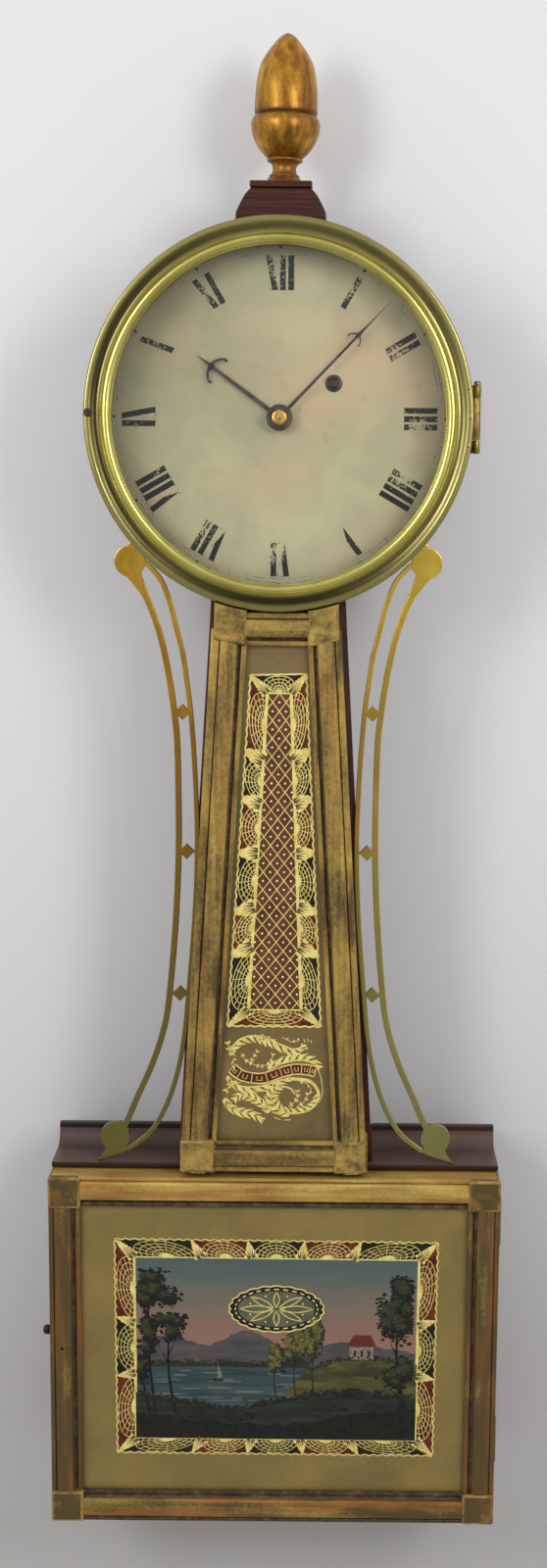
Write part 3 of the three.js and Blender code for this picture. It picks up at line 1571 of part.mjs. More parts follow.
// Click on the back of the great wheel, its nose just clear of the ratchet.
function ratchetClick() {
  const back = PLANE.drumFront - DRUM.flangeThickness;
  const face = PLANE.great - GREAT_THICKNESS / 2 - SEAT;
  const near = DRUM.flange + SEAT;
  const shape = outline([
    [near, -DRUM.flangeThickness],
    [near + DRUM.flangeThickness, -DRUM.flangeThickness * 2],
    [near + DRUM.flange / 3, DRUM.flange / 2],
    [near + DRUM.flange / 5, DRUM.flange / 1.6],
    [near + DRUM.flangeThickness, DRUM.flange / 2],
  ]);
  return frontal(shape, back, face);
}

function centreWheel() {
  const back = PLANE.centre - WHEEL_THICKNESS / 2;
  const wheel = frontal(
    crossedWheel(TEETH.centre, CENTRE_MODULE, ARBOR_RADIUS * 2.4, ARBOR_RADIUS),
    back,
    back + WHEEL_THICKNESS,
    3,
  );
  const shaft = turned(
    [
      [0, BACK_PLATE + SEAT],
      [PIVOT.radius, BACK_PLATE + SEAT],
      [PIVOT.radius, BACK_PLATE + PLATE.thickness + pivotEnd],
      [ARBOR_RADIUS, BACK_PLATE + PLATE.thickness + pivotEnd],
      [ARBOR_RADIUS, PLANE.cannon - WHEEL_THICKNESS],
      [CANNON.bore - SEAT / 3, PLANE.cannon - WHEEL_THICKNESS],
      [CANNON.bore - SEAT / 3, NUT_FRONT],
      [0, NUT_FRONT],
    ],
    10,
  );
  return join(wheel, shaft, leaves(TEETH.centrePinion, GREAT_MODULE, PLANE.great));
}

function cannonPinion() {
  const back = PLANE.cannon - WHEEL_THICKNESS + SEAT;
  const front = PLANE.cannon + WHEEL_THICKNESS;
  const gear = frontal(pinionShape(TEETH.cannon, CANNON_MODULE), back, front);
  const pipe = turned(rod(CANNON.pipe, back, PLANE.minuteHand - SEAT), 14);
  const bore = turned(rod(CANNON.bore, back - OVERRUN, PLANE.minuteHand + OVERRUN), 14);
  return cut(join(gear, pipe), bore);
}

function minuteWheel() {
  const back = PLANE.cannon - WHEEL_THICKNESS / 2;
  const gear = frontal(
    wheelShape(TEETH.minute, CANNON_MODULE),
    back,
    back + WHEEL_THICKNESS,
  );
  const pinion = frontal(
    pinionShape(TEETH.minutePinion, HOUR_MODULE),
    back + WHEEL_THICKNESS / 2,
    PLANE.hour + WHEEL_THICKNESS,
  );
  const stud = turned(
    rod(PIVOT.radius, FRONT_PLATE + PLATE.thickness + SEAT, PLANE.hour + WHEEL_THICKNESS * 1.5),
    12,
  );
  return join(gear, pinion, stud);
}

function hourWheel() {
  const back = PLANE.hour - WHEEL_THICKNESS / 2;
  const gear = frontal(wheelShape(TEETH.hour, HOUR_MODULE), back, back + WHEEL_THICKNESS);
  const pipe = turned(rod(HOUR_PIPE.radius, back, PLANE.hourHand - SEAT), 16);
  const neck = turned(rod(HOUR_PIPE.radius - SEAT * 2, back, PLANE.hourHand + HAND.thickness), 16);
  const bore = turned(rod(HOUR_PIPE.bore, back - OVERRUN, PLANE.hourHand + OVERRUN), 16);
  return cut(join(gear, pipe, neck), bore);
}

function thirdWheel() {
  const back = PLANE.third - WHEEL_THICKNESS / 2;
  const wheel = frontal(
    crossedWheel(TEETH.third, THIRD_MODULE, ARBOR_RADIUS * 2.4, ARBOR_RADIUS),
    back,
    back + WHEEL_THICKNESS,
    3,
  );
  return join(wheel, arbor(), leaves(TEETH.thirdPinion, CENTRE_MODULE, PLANE.centre));
}

function escapeWheel() {
  const pitch = TURN / TEETH.escape;
  const root = ESCAPE_RADIUS * 0.8;
  const points = [];
  for (let i = 0; i < TEETH.escape; i += 1) {
    points.push(polar(ESCAPE_RADIUS, i * pitch));
    points.push(polar(root, (i + 0.35) * pitch));
  }
  const back = PLANE.escape - WHEEL_THICKNESS / 2;
  const wheel = frontal(outline(points), back, back + WHEEL_THICKNESS);
  return join(wheel, arbor(), leaves(TEETH.escapePinion, THIRD_MODULE, PLANE.third));
}

// Pallets, arbor and crutch turn together with the pendulum.
function palletArbor() {
  const drop = VERGE_RISE - ESCAPE_RISE;
  const nib = ESCAPE_RADIUS + PALLET.clearance;
  const x = nib * Math.sin(PALLET.span);
  const z = nib * Math.cos(PALLET.span) - drop;
  const w = PALLET.width;
  const shape = new THREE.Shape();
  shape.moveTo(-x - w, z);
  shape.lineTo(-x, z);
  shape.quadraticCurveTo(-x * 0.8, -PALLET.neck, 0, -PALLET.neck);
  shape.quadraticCurveTo(x * 0.8, -PALLET.neck, x, z);
  shape.lineTo(x + w, z);
  shape.quadraticCurveTo(x, PALLET.neck, 0, PALLET.neck);
  shape.quadraticCurveTo(-x, PALLET.neck, -x - w, z);
  const back = PLANE.escape - PALLET.thickness / 2;
  const anchor = frontal(shape, back, back + PALLET.thickness, 5);
  const staff = turned(
    [
      [0, BACK_PLATE + SEAT],
      [PIVOT.radius, BACK_PLATE + SEAT],
      [PIVOT.radius, BACK_PLATE + PLATE.thickness + pivotEnd],
      [ARBOR_RADIUS, BACK_PLATE + PLATE.thickness + pivotEnd],
      [ARBOR_RADIUS, FRONT_PLATE - pivotEnd],
      [PIVOT.radius, FRONT_PLATE - pivotEnd],
      [PIVOT.radius, CRUTCH.depth + CRUTCH.thickness],
      [0, CRUTCH.depth + CRUTCH.thickness],
    ],
    8,
  );
  const half = CRUTCH.half;
  const blade = block(
    [-half, half],
    [CRUTCH.depth, CRUTCH.depth + CRUTCH.thickness],
    [-CRUTCH.length, half],
  );
  const rodSpace = PENDULUM.rodHalf + SEAT * 1.5;
  const reach = PLANE.pendulum + PENDULUM.rodThickness + half;
  const forkBase = block(
    [-rodSpace - half, rodSpace + half],
    [CRUTCH.depth, CRUTCH.depth + CRUTCH.thickness],
    [-CRUTCH.length - half, -CRUTCH.length + half],
  );
  const tines = [-1, 1].map((side) => {
    const ends = inOrder(side * rodSpace, side * (rodSpace + half));
    return block(ends, [CRUTCH.depth, reach], [-CRUTCH.length - half, -CRUTCH.length + half]);
  });
  return join(anchor, staff, blade, forkBase, ...tines);
}

// Bridge on the front plate that holds the pendulum spring.
function pendulumBridge() {
  const plateFront = FRONT_PLATE + PLATE.thickness + SEAT;
  const reach = PLANE.pendulum + PENDULUM.rodThickness / 2 + BRIDGE.thickness;
  const width = [-BRIDGE.half, BRIDGE.half];
  const thick = BRIDGE.thickness;
  const arm = block(width, [plateFront, reach], [BRIDGE.footBottom, BRIDGE.footBottom + thick]);
  const foot = block(width, [plateFront, plateFront + thick], [BRIDGE.footBottom, BRIDGE.top]);
  const clampBack = PLANE.pendulum - BRIDGE.thickness;
  const clamp = block(
    [-BRIDGE.half, BRIDGE.half],
    [clampBack, reach],
    [BRIDGE.footBottom - BRIDGE.drop - BRIDGE.thickness, BRIDGE.footBottom + BRIDGE.thickness],
  );
  const middle = PLANE.pendulum + PENDULUM.rodThickness / 2;
  const slotHalf = PENDULUM.springThickness / 2 + SEAT;
  const slot = block(
    [-PENDULUM.springHalf - BRIDGE.slot - SEAT, PENDULUM.springHalf + BRIDGE.slot + SEAT],
    [middle - slotHalf, middle + slotHalf],
    [BRIDGE.footBottom - BRIDGE.drop - BRIDGE.thickness - OVERRUN, BRIDGE.footBottom + OVERRUN * 2],
  );
  return cut(join(arm, foot, clamp), slot);
}

// Spring, rod and tie loop; its own origin is where the spring bends.
function pendulumRod() {
  const back = PLANE.pendulum;
  const front = back + PENDULUM.rodThickness;
  const middle = (back + front) / 2;
  const spring = block(
    [-PENDULUM.springHalf, PENDULUM.springHalf],
    [middle - PENDULUM.springThickness / 2, middle + PENDULUM.springThickness / 2],
    [-PENDULUM.springBelow, PENDULUM.springAbove],
  );
  const pin = block(
    [-PENDULUM.springHalf, PENDULUM.springHalf],
    [back, front],
    [-PENDULUM.springBelow - PENDULUM.rodHalf * 2, -PENDULUM.springBelow],
  );
  const loopTop = -VERGE_RISE + PENDULUM.loopInner + PENDULUM.loopWall / 2;
  const loopBottom = -VERGE_RISE - PENDULUM.loopInner - PENDULUM.loopWall / 2;
  const half = PENDULUM.rodHalf;
  const end = -PENDULUM_LENGTH - PENDULUM.bobRadius - PENDULUM.threadLength;
  const upper = block([-half, half], [back, front], [loopTop, -PENDULUM.springBelow - half]);
  const flatEnd = end + PENDULUM.threadLength - SEAT / 2;
  const lower = block([-half, half], [back, front], [flatEnd, loopBottom]);
  const loop = turned(
    tube(PENDULUM.loopInner + PENDULUM.loopWall, PENDULUM.loopInner, back, front),
    22,
  ).translate([0, 0, -VERGE_RISE]);
  const thread = turnedUpright(rod(half * 0.8, end, flatEnd + half), 8);
  return join(spring, pin, upper, lower, loop, thread.translate([0, -middle, 0]));
}

function pendulumBob() {
  const r = PENDULUM.bobRadius;
  const middle = PLANE.pendulum + PENDULUM.rodThickness / 2;
  const steps = 3;
  const face = Array.from({ length: steps + 1 }, (_, i) => {
    const share = i / steps;
    return [r * share, PENDULUM.bobEdge + PENDULUM.bobHalf * Math.cos(share * QUARTER)];
  });
  const profile = [
    ...face.map(([radius, h]) => [radius, middle - h]),
    ...face.map(([radius, h]) => [radius, middle + h]).reverse(),
  ];
  const lens = turned(profile, 24).translate([0, 0, -PENDULUM_LENGTH]);
  const slotHalf = PENDULUM.rodHalf + SEAT;
  const slot = block(
    [-slotHalf, slotHalf],
    [middle - slotHalf, middle + slotHalf],
    [-PENDULUM_LENGTH - r * 2, -PENDULUM_LENGTH + r * 2],
  );
  return cut(lens, slot);
}

function ratingNut() {
  const r = RATING_NUT.radius;
  const h = RATING_NUT.height;
  return turnedUpright(
    [
      [PENDULUM.rodHalf * 0.8 + RUNNING / 3, 0],
      [r * 0.8, 0],
      [r, h * 0.25],
      [r, h * 0.75],
      [r * 0.8, h],
      [PENDULUM.rodHalf * 0.8 + RUNNING / 3, h],
    ],
    14,
  );
}

function weight() {
  const w = WEIGHT;
  const shape = outline([
    [-w.bottomHalf, 0],
    [w.bottomHalf, 0],
    [w.topHalf, w.height],
    [-w.topHalf, w.height],
  ]);
  const body = frontal(shape, w.back, w.front);
  const z = w.height + w.stirrupHeight;
  const cheek = PULLEY.axle * 3;
  const gap = PULLEY.width / 2 + SEAT;
  const cheeks = [
    [LINE_PLANE - gap - PULLEY.axle, LINE_PLANE - gap],
    [LINE_PLANE + gap, LINE_PLANE + gap + PULLEY.axle],
  ].map((depth) => block([-cheek / 2, cheek / 2], depth, [w.height - OVERRUN, z + cheek / 2]));
  const axle = turned(
    rod(PULLEY.axle, LINE_PLANE - gap - PULLEY.axle / 2, LINE_PLANE + gap + PULLEY.axle / 2),
    12,
  ).translate([0, 0, z]);
  return join(body, axle, ...cheeks);
}

function weightPulley() {
  const p = PULLEY;
  const half = p.width / 2;
  return turned(
    [
      [p.axle + RUNNING, LINE_PLANE - half],
      [p.radius + p.groove, LINE_PLANE - half],
      [p.radius + p.groove, LINE_PLANE - half + p.groove / 2],
      [p.radius - GUT_RADIUS - SEAT, LINE_PLANE - GUT_RADIUS],
      [p.radius - GUT_RADIUS - SEAT, LINE_PLANE + GUT_RADIUS],
      [p.radius + p.groove, LINE_PLANE + half - p.groove / 2],
      [p.radius + p.groove, LINE_PLANE + half],
      [p.axle + RUNNING, LINE_PLANE + half],
    ],
    16,
  );
}

// One line: down from the drum, round the pulley and up to the post of the seat.
function gutLine() {
  const spot = (x, z) => new THREE.Vector3(x, -LINE_PLANE, z);
  const steps = 8;
  const bight = Array.from({ length: steps + 1 }, (_, i) => {
    const angle = (Math.PI * i) / steps;
    const across = PULLEY.radius * Math.cos(angle);
    return spot(WEIGHT_X + across, PULLEY_Z - PULLEY.radius * Math.sin(angle));
  });
  const spots = [spot(LINE_X, LINE_TOP), ...bight, spot(STANDING_X, LINE_TOP)];
  return sweep(spots, GUT_RADIUS, 6);
}

// A round section swept along straight runs that share one upright plane.
function sweep(spots, radius, sides) {
  const flat = Array.from({ length: sides }, (_, i) => {
    const angle = (TURN * i) / sides;
    return point(radius * Math.cos(angle), radius * Math.sin(angle));
  });
  const rings = spots.map((spot, i) => {
    const before = spots[Math.max(i - 1, 0)];
    const after = spots[Math.min(i + 1, spots.length - 1)];
    const way = after.clone().sub(before).normalize();
    const out = new THREE.Vector3(0, -1, 0);
    const across = new THREE.Vector3().crossVectors(out, way);
    return flat.map((p) =>
      spot.clone().addScaledVector(across, p.x).addScaledVector(out, p.y),
    );
  });
  const positions = rings.flat().flatMap((v) => [v.x, v.y, v.z]);
  const index = [];
  for (let i = 0; i < rings.length - 1; i += 1)
    for (let j = 0; j < sides; j += 1) {
      const next = (j + 1) % sides;
      const [a, b] = [i * sides + j, i * sides + next];
      index.push(a, b, b + sides, a, b + sides, a + sides);
    }
  const end = (rings.length - 1) * sides;
  for (let j = 1; j < sides - 1; j += 1) {
    index.push(0, j + 1, j);
    index.push(end, end + j, end + j + 1);
  }
  const geometry = new THREE.BufferGeometry();
  geometry.setAttribute("position", new THREE.Float32BufferAttribute(positions, 3));
  geometry.setIndex(index);
  return solid(geometry);
}

function weightBaffle() {
  const half = (z) => bodyHalf(z) - THROAT.wall - SEAT;
  const foot = half(SHELF_TOP) - SEAT;
  const bottom = BOX_FLOOR + BOX.wall + SEAT;
  const shape = outline([
    [-foot, bottom],
    [foot, bottom],
    [foot, SHELF_TOP],
    [half(BAFFLE.top), BAFFLE.top],
    [-half(BAFFLE.top), BAFFLE.top],
    [-foot, SHELF_TOP],
  ]);
  return frontal(shape, BAFFLE.depth, BAFFLE.depth + BAFFLE.thickness);
}

// Assembly

function buildCase() {
  const group = new THREE.Group();
  const finialPlace = [FINIAL.offset, PLINTH.middle, PLINTH_TOP + SEAT];
  group.add(
    piece("backboard", backboard(), mahogany()),
    piece("head_ring", headRing(), mahogany()),
    piece("finial_plinth", plinth(), mahogany()),
    piece("finial", finial(), gilt(), finialPlace, FINIAL.lean),
    piece("throat_side_left", throatSide(-1), mahogany()),
    piece("throat_side_right", throatSide(1), mahogany()),
    piece("throat_frame", throatFrame(), gilt()),
    piece("throat_tablet", throatTablet(), paintedGlass()),
    piece("side_arm_left", sideArm(-1), brass()),
    piece("side_arm_right", sideArm(1), brass()),
    piece("arm_screw_left", armScrew(-1), brass()),
    piece("arm_screw_right", armScrew(1), brass()),
    piece("box_side_left", boxSide(-1), mahogany()),
    piece("box_side_right", boxSide(1), mahogany()),
    piece("box_bottom", boxBottom(), mahogany()),
    piece("box_top_shelf", boxShelf(), mahogany()),
  );
  return group;
}

function buildBoxDoor() {
  const group = new THREE.Group();
  const latchPlace = [0, BOX_LATCH.depth, BOX_FLOOR + BOX_LATCH.height];
  group.add(
    piece("box_door_frame", boxDoorFrame(), gilt()),
    piece("box_tablet", boxTablet(), paintedGlass()),
    piece("box_latch", boxLatch(), brass(), latchPlace),
    piece("box_latch_plate", boxLatchPlate(), brass(), latchPlace),
  );
  ["lower", "upper"].forEach((name, i) => {
    const z = hingeHeights()[i];
    group.add(
      piece(name + "_hinge_case_leaf", buttLeaf(false), brass(), [0, 0, z]),
      piece(name + "_hinge_door_leaf", buttLeaf(true), brass(), [0, 0, z]),
      piece(name + "_hinge_pin", buttPin(), steel(), [BUTT_X, BUTT_DEPTH, z]),
    );
  });
  return group;
}

function buildBezel() {
  const group = new THREE.Group();
  group.add(
    piece("bezel", bezel(), brass()),
    piece("bezel_glass", bezelGlass(), glass()),
    piece("bezel_latch", bezelLatch(), steel(), [LATCH_X, 0, LATCH.z]),
    piece("bezel_hinge_case_leaf", bezelHingeLeaf(false), brass()),
    piece("bezel_hinge_bezel_leaf", bezelHingeLeaf(true), brass()),
    piece("bezel_hinge_pin", bezelHingePin(), steel(), [HINGE_X, HINGE_DEPTH, 0]),
  );
  return group;
}

function buildDial() {
  const group = new THREE.Group();
  const hourBore = HOUR_PIPE.radius - SEAT;
  const minuteBore = CANNON.bore + SEAT / 3;
  const hourHand = hand(HAND.hourLength, HOUR_HALF_SHARES, HAND.hourCollar, hourBore);
  const minuteHand = hand(HAND.minuteLength, MINUTE_HALF_SHARES, HAND.minuteCollar, minuteBore);
  const washer = turned(
    tube(WASHER.radius, CANNON.bore, 0, WASHER.thickness),
    16,
  );
  const nut = turned(tube(NUT.radius, CANNON.bore, 0, NUT.thickness), 12);
  group.add(
    piece("dial", dial(), dialPaint()),
    piece("winding_grommet", grommet(), brass(), [WINDING.x, 0, WINDING.z]),
    piece("hour_hand", hourHand, steel(), [0, PLANE.hourHand, 0], HOUR_ANGLE),
    piece("minute_hand", minuteHand, steel(), [0, PLANE.minuteHand, 0], MINUTE_ANGLE),
    piece("hand_washer", washer, steel(), [0, WASHER_BACK, 0]),
    piece("hand_nut", nut, brass(), [0, NUT_BACK, 0]),
  );
  return group;
}

function buildMovement() {
  const group = new THREE.Group();
  const at = ([x, z]) => [x, 0, z];
  group.add(
    piece("movement_back_plate", movementPlate(true), brass(), [0, BACK_PLATE, 0]),
    piece("movement_front_plate", movementPlate(false), brass(), [0, FRONT_PLATE, 0]),
    piece("movement_screw_left", movementScrew(), steel(), at(MOVEMENT_SCREW.places[0])),
    piece("movement_screw_right", movementScrew(), steel(), at(MOVEMENT_SCREW.places[1])),
    piece("great_wheel", greatWheel(), brass(), at(windingPlace), GREAT_TURN),
    piece("ratchet_click", ratchetClick(), steel(), at(windingPlace)),
    piece("winding_drum", windingDrum(), brass(), at(windingPlace)),
    piece("centre_wheel", centreWheel(), brass()),
    piece("cannon_pinion", cannonPinion(), steel()),
    piece("third_wheel", thirdWheel(), brass(), at(thirdPlace), THIRD_TURN),
    piece("escape_wheel", escapeWheel(), brass(), at(escapePlace), ESCAPE_TURN),
    piece("pallet_arbor", palletArbor(), steel(), [0, 0, VERGE_RISE]),
    piece("minute_wheel", minuteWheel(), brass(), at(minutePlace), MINUTE_TURN),
    piece("hour_wheel", hourWheel(), brass(), [0, 0, 0], HOUR_TURN),
    piece("pendulum_bridge", pendulumBridge(), brass()),
  );
  return group;
}

function buildGoingParts() {
  const group = new THREE.Group();
  const nutTop = VERGE_RISE - PENDULUM_LENGTH - PENDULUM.bobRadius - SEAT;
  const middle = PLANE.pendulum + PENDULUM.rodThickness / 2;
  group.add(
    piece("pendulum_rod", pendulumRod(), brass(), [0, 0, VERGE_RISE]),
    piece("pendulum_bob", pendulumBob(), brass(), [0, 0, VERGE_RISE]),
    piece("rating_nut", ratingNut(), brass(), [0, middle, nutTop - RATING_NUT.height]),
    piece("weight", weight(), iron(), [WEIGHT_X, 0, WEIGHT_BOTTOM]),
    piece("weight_pulley", weightPulley(), brass(), [WEIGHT_X, 0, PULLEY_Z]),
    piece("gut_line", gutLine(), gut()),
    piece("weight_baffle", weightBaffle(), iron()),
  );
  return group;
}

const group = new THREE.Group();
group.add(buildCase(), buildBoxDoor(), buildBezel(), buildDial(), buildMovement(), buildGoingParts());

export default group;
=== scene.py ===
"""Looks of the banjo clock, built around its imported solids."""
import random
from math import asin, atan2, copysign, cos, dist, hypot, pi, radians, sin, sqrt

import bmesh
import bpy
from mathutils import Matrix, Vector


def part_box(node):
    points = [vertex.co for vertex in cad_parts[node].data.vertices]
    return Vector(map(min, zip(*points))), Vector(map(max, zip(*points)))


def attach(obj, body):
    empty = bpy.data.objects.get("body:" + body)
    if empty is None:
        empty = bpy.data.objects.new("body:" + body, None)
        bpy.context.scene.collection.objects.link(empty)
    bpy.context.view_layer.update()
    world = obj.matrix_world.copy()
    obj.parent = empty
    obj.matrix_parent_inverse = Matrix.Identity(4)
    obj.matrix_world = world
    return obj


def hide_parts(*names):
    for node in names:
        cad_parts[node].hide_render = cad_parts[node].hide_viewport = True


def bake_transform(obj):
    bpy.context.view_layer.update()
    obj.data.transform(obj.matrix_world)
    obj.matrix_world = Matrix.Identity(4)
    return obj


MM = 0.001
TURN = 2 * pi
QUARTER = pi / 2

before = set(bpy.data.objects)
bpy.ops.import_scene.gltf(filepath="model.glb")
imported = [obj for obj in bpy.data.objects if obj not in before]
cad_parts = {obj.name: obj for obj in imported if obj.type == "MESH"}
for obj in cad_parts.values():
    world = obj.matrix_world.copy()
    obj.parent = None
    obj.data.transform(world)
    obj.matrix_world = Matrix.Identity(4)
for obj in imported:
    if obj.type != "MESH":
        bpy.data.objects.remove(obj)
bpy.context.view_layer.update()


# Sizes, in millimetres: x to the right, d out from the wall, z up from the hands


class Span:
    """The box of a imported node: its least and most x, d and z."""

    def __init__(self, node):
        low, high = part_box(node)
        self.x = (low.x / MM, high.x / MM)
        self.d = (-high.y / MM, -low.y / MM)
        self.z = (low.z / MM, high.z / MM)


BEZEL = Span("bezel")
HEAD = Span("head_ring")
DIAL = Span("dial")
DOOR = Span("box_door_frame")
SHELF = Span("box_top_shelf")
THROAT = Span("throat_frame")
THROAT_PANE = Span("throat_tablet")
BOX_PANE = Span("box_tablet")
ARM = Span("side_arm_right")
BOARD = Span("backboard")

LAYER = 0.07  # one coat of paint or leaf over the one before
CREASE = radians(32)

FINIAL = {"x": 1.0, "d": 45.0, "z": 123.5, "lean": radians(1.3)}
FINIAL_FOOT = [(0, 0), (11.35, 0), (11.4, 1.0), (10.9, 2.0), (9.7, 3.2), (8.6, 4.5), (8.0, 5.1)]
FINIAL_NECK = [(8.2, 5.3), (8.2, 5.9), (7.2, 6.5), (6.5, 7.8), (6.35, 9.8), (7.0, 11.6), (8.6, 12.9)]
FINIAL_RING = [(9.3, 13.1), (9.75, 13.8), (9.6, 14.6), (9.0, 15.0)]
FINIAL_CUP = [
    (9.8, 15.3), (11.8, 17.0), (14.3, 20.0), (16.4, 23.6), (17.9, 27.4),
    (18.6, 31.4), (18.3, 34.2), (17.3, 36.0), (16.4, 36.9),
]
FINIAL_NUT = [
    (16.2, 37.3), (16.9, 38.3), (17.0, 41.0), (16.7, 48.5), (16.0, 55.5), (14.5, 62.6),
    (12.8, 66.2), (10.7, 69.7), (8.1, 73.2), (5.2, 76.7), (2.2, 79.0), (0, 79.8),
]
PLINTH = {
    "cap": 16.6, "cap_back": 17.4, "cap_front": 72.6, "cap_low": 119.7, "cap_top": 123.2,
    "neck": 14.8, "base": 23.9, "swell": 12.7, "back": 19.0, "front": 71.0,
}
NUMERAL = {"inner": 66.9, "outer": 84.9, "stroke": 3.1, "hair": 0.34, "pitch": 4.4}
TRACK = {"inner": 86.3, "outer": 88.2, "line": 0.28, "dots": 89.3}
SLOPE = 0.05807  # what the throat's frame gains on each side for each millimetre down


def taper(z):
    """Half the width of the throat's frame at a height."""
    return 33.15 + (-100 - z) * SLOPE


# Points and curves


def at(x, d, z):
    return Vector((x, -d, z)) * MM


def stretch(start, end, steps):
    """Even steps from a start to an end."""
    return [start + (end - start) * i / steps for i in range(steps + 1)]


def polar(radius, angle):
    """A place on the dial, its angle clockwise from twelve."""
    return (radius * sin(angle), radius * cos(angle))


def dial_arc(radius, start, end, steps):
    return [polar(radius, angle) for angle in stretch(start, end, steps)]


def between(a, b, share):
    return tuple(p + (q - p) * share for p, q in zip(a, b))


def mirrored(points, side=-1):
    return [(side * x, z) for x, z in points]


def rect(x, z):
    return [(x[0], z[0]), (x[1], z[0]), (x[1], z[1]), (x[0], z[1])]


def turned(angle):
    """A function that puts (sideways, outwards) on the dial, at an angle clockwise from twelve."""
    c, s = cos(angle), sin(angle)
    return lambda w, r: (w * c + r * s, r * c - w * s)


def aimed(root, tip):
    """The way from a root to a tip: its length, and a function that puts (sideways, along) on it."""
    length = dist(root, tip)
    u, v = (tip[0] - root[0]) / length, (tip[1] - root[1]) / length
    return length, lambda w, r: (root[0] + u * r - v * w, root[1] + v * r + u * w)


def flow(points, steps=5):
    """A smooth line through the points."""
    line = []
    last = len(points) - 1
    for i in range(last):
        near = [points[max(0, min(i + k, last))] for k in (-1, 0, 1, 2)]
        terms = [(2 * q, r - p, 2 * p - 5 * q + 4 * r - s, 3 * q - 3 * r + s - p) for p, q, r, s in zip(*near)]
        for t in stretch(0, 1, steps)[:-1]:
            line.append(tuple(0.5 * (a + b * t + c * t**2 + e * t**3) for a, b, c, e in terms))
    return line + [tuple(points[-1])]


def arc(centre, radius, start, end, steps):
    """Points of a circle or ellipse in a plane, angles from the first axis."""
    wide, tall = radius if isinstance(radius, tuple) else (radius, radius)
    return [(centre[0] + wide * cos(a), centre[1] + tall * sin(a)) for a in stretch(start, end, steps)]


def ring(centre, radius, sides):
    """A whole circle or ellipse."""
    return arc(centre, radius, 0, TURN, sides)[:-1]


def offsets(points, closed=False):
    """The unit normal at each point of a line in a plane."""
    found = []
    last = len(points) - 1
    for i in range(last + 1):
        before = points[i - 1 if i or closed else i]
        after = points[(i + 1) % (last + 1) if i < last or closed else i]
        dx, dz = after[0] - before[0], after[1] - before[1]
        size = hypot(dx, dz) or 1
        found.append((-dz / size, dx / size))
    return found


def facing(u, v, height):
    """Puts a turned form's axis through the hands."""
    return at(u, height, v)


# Pieces


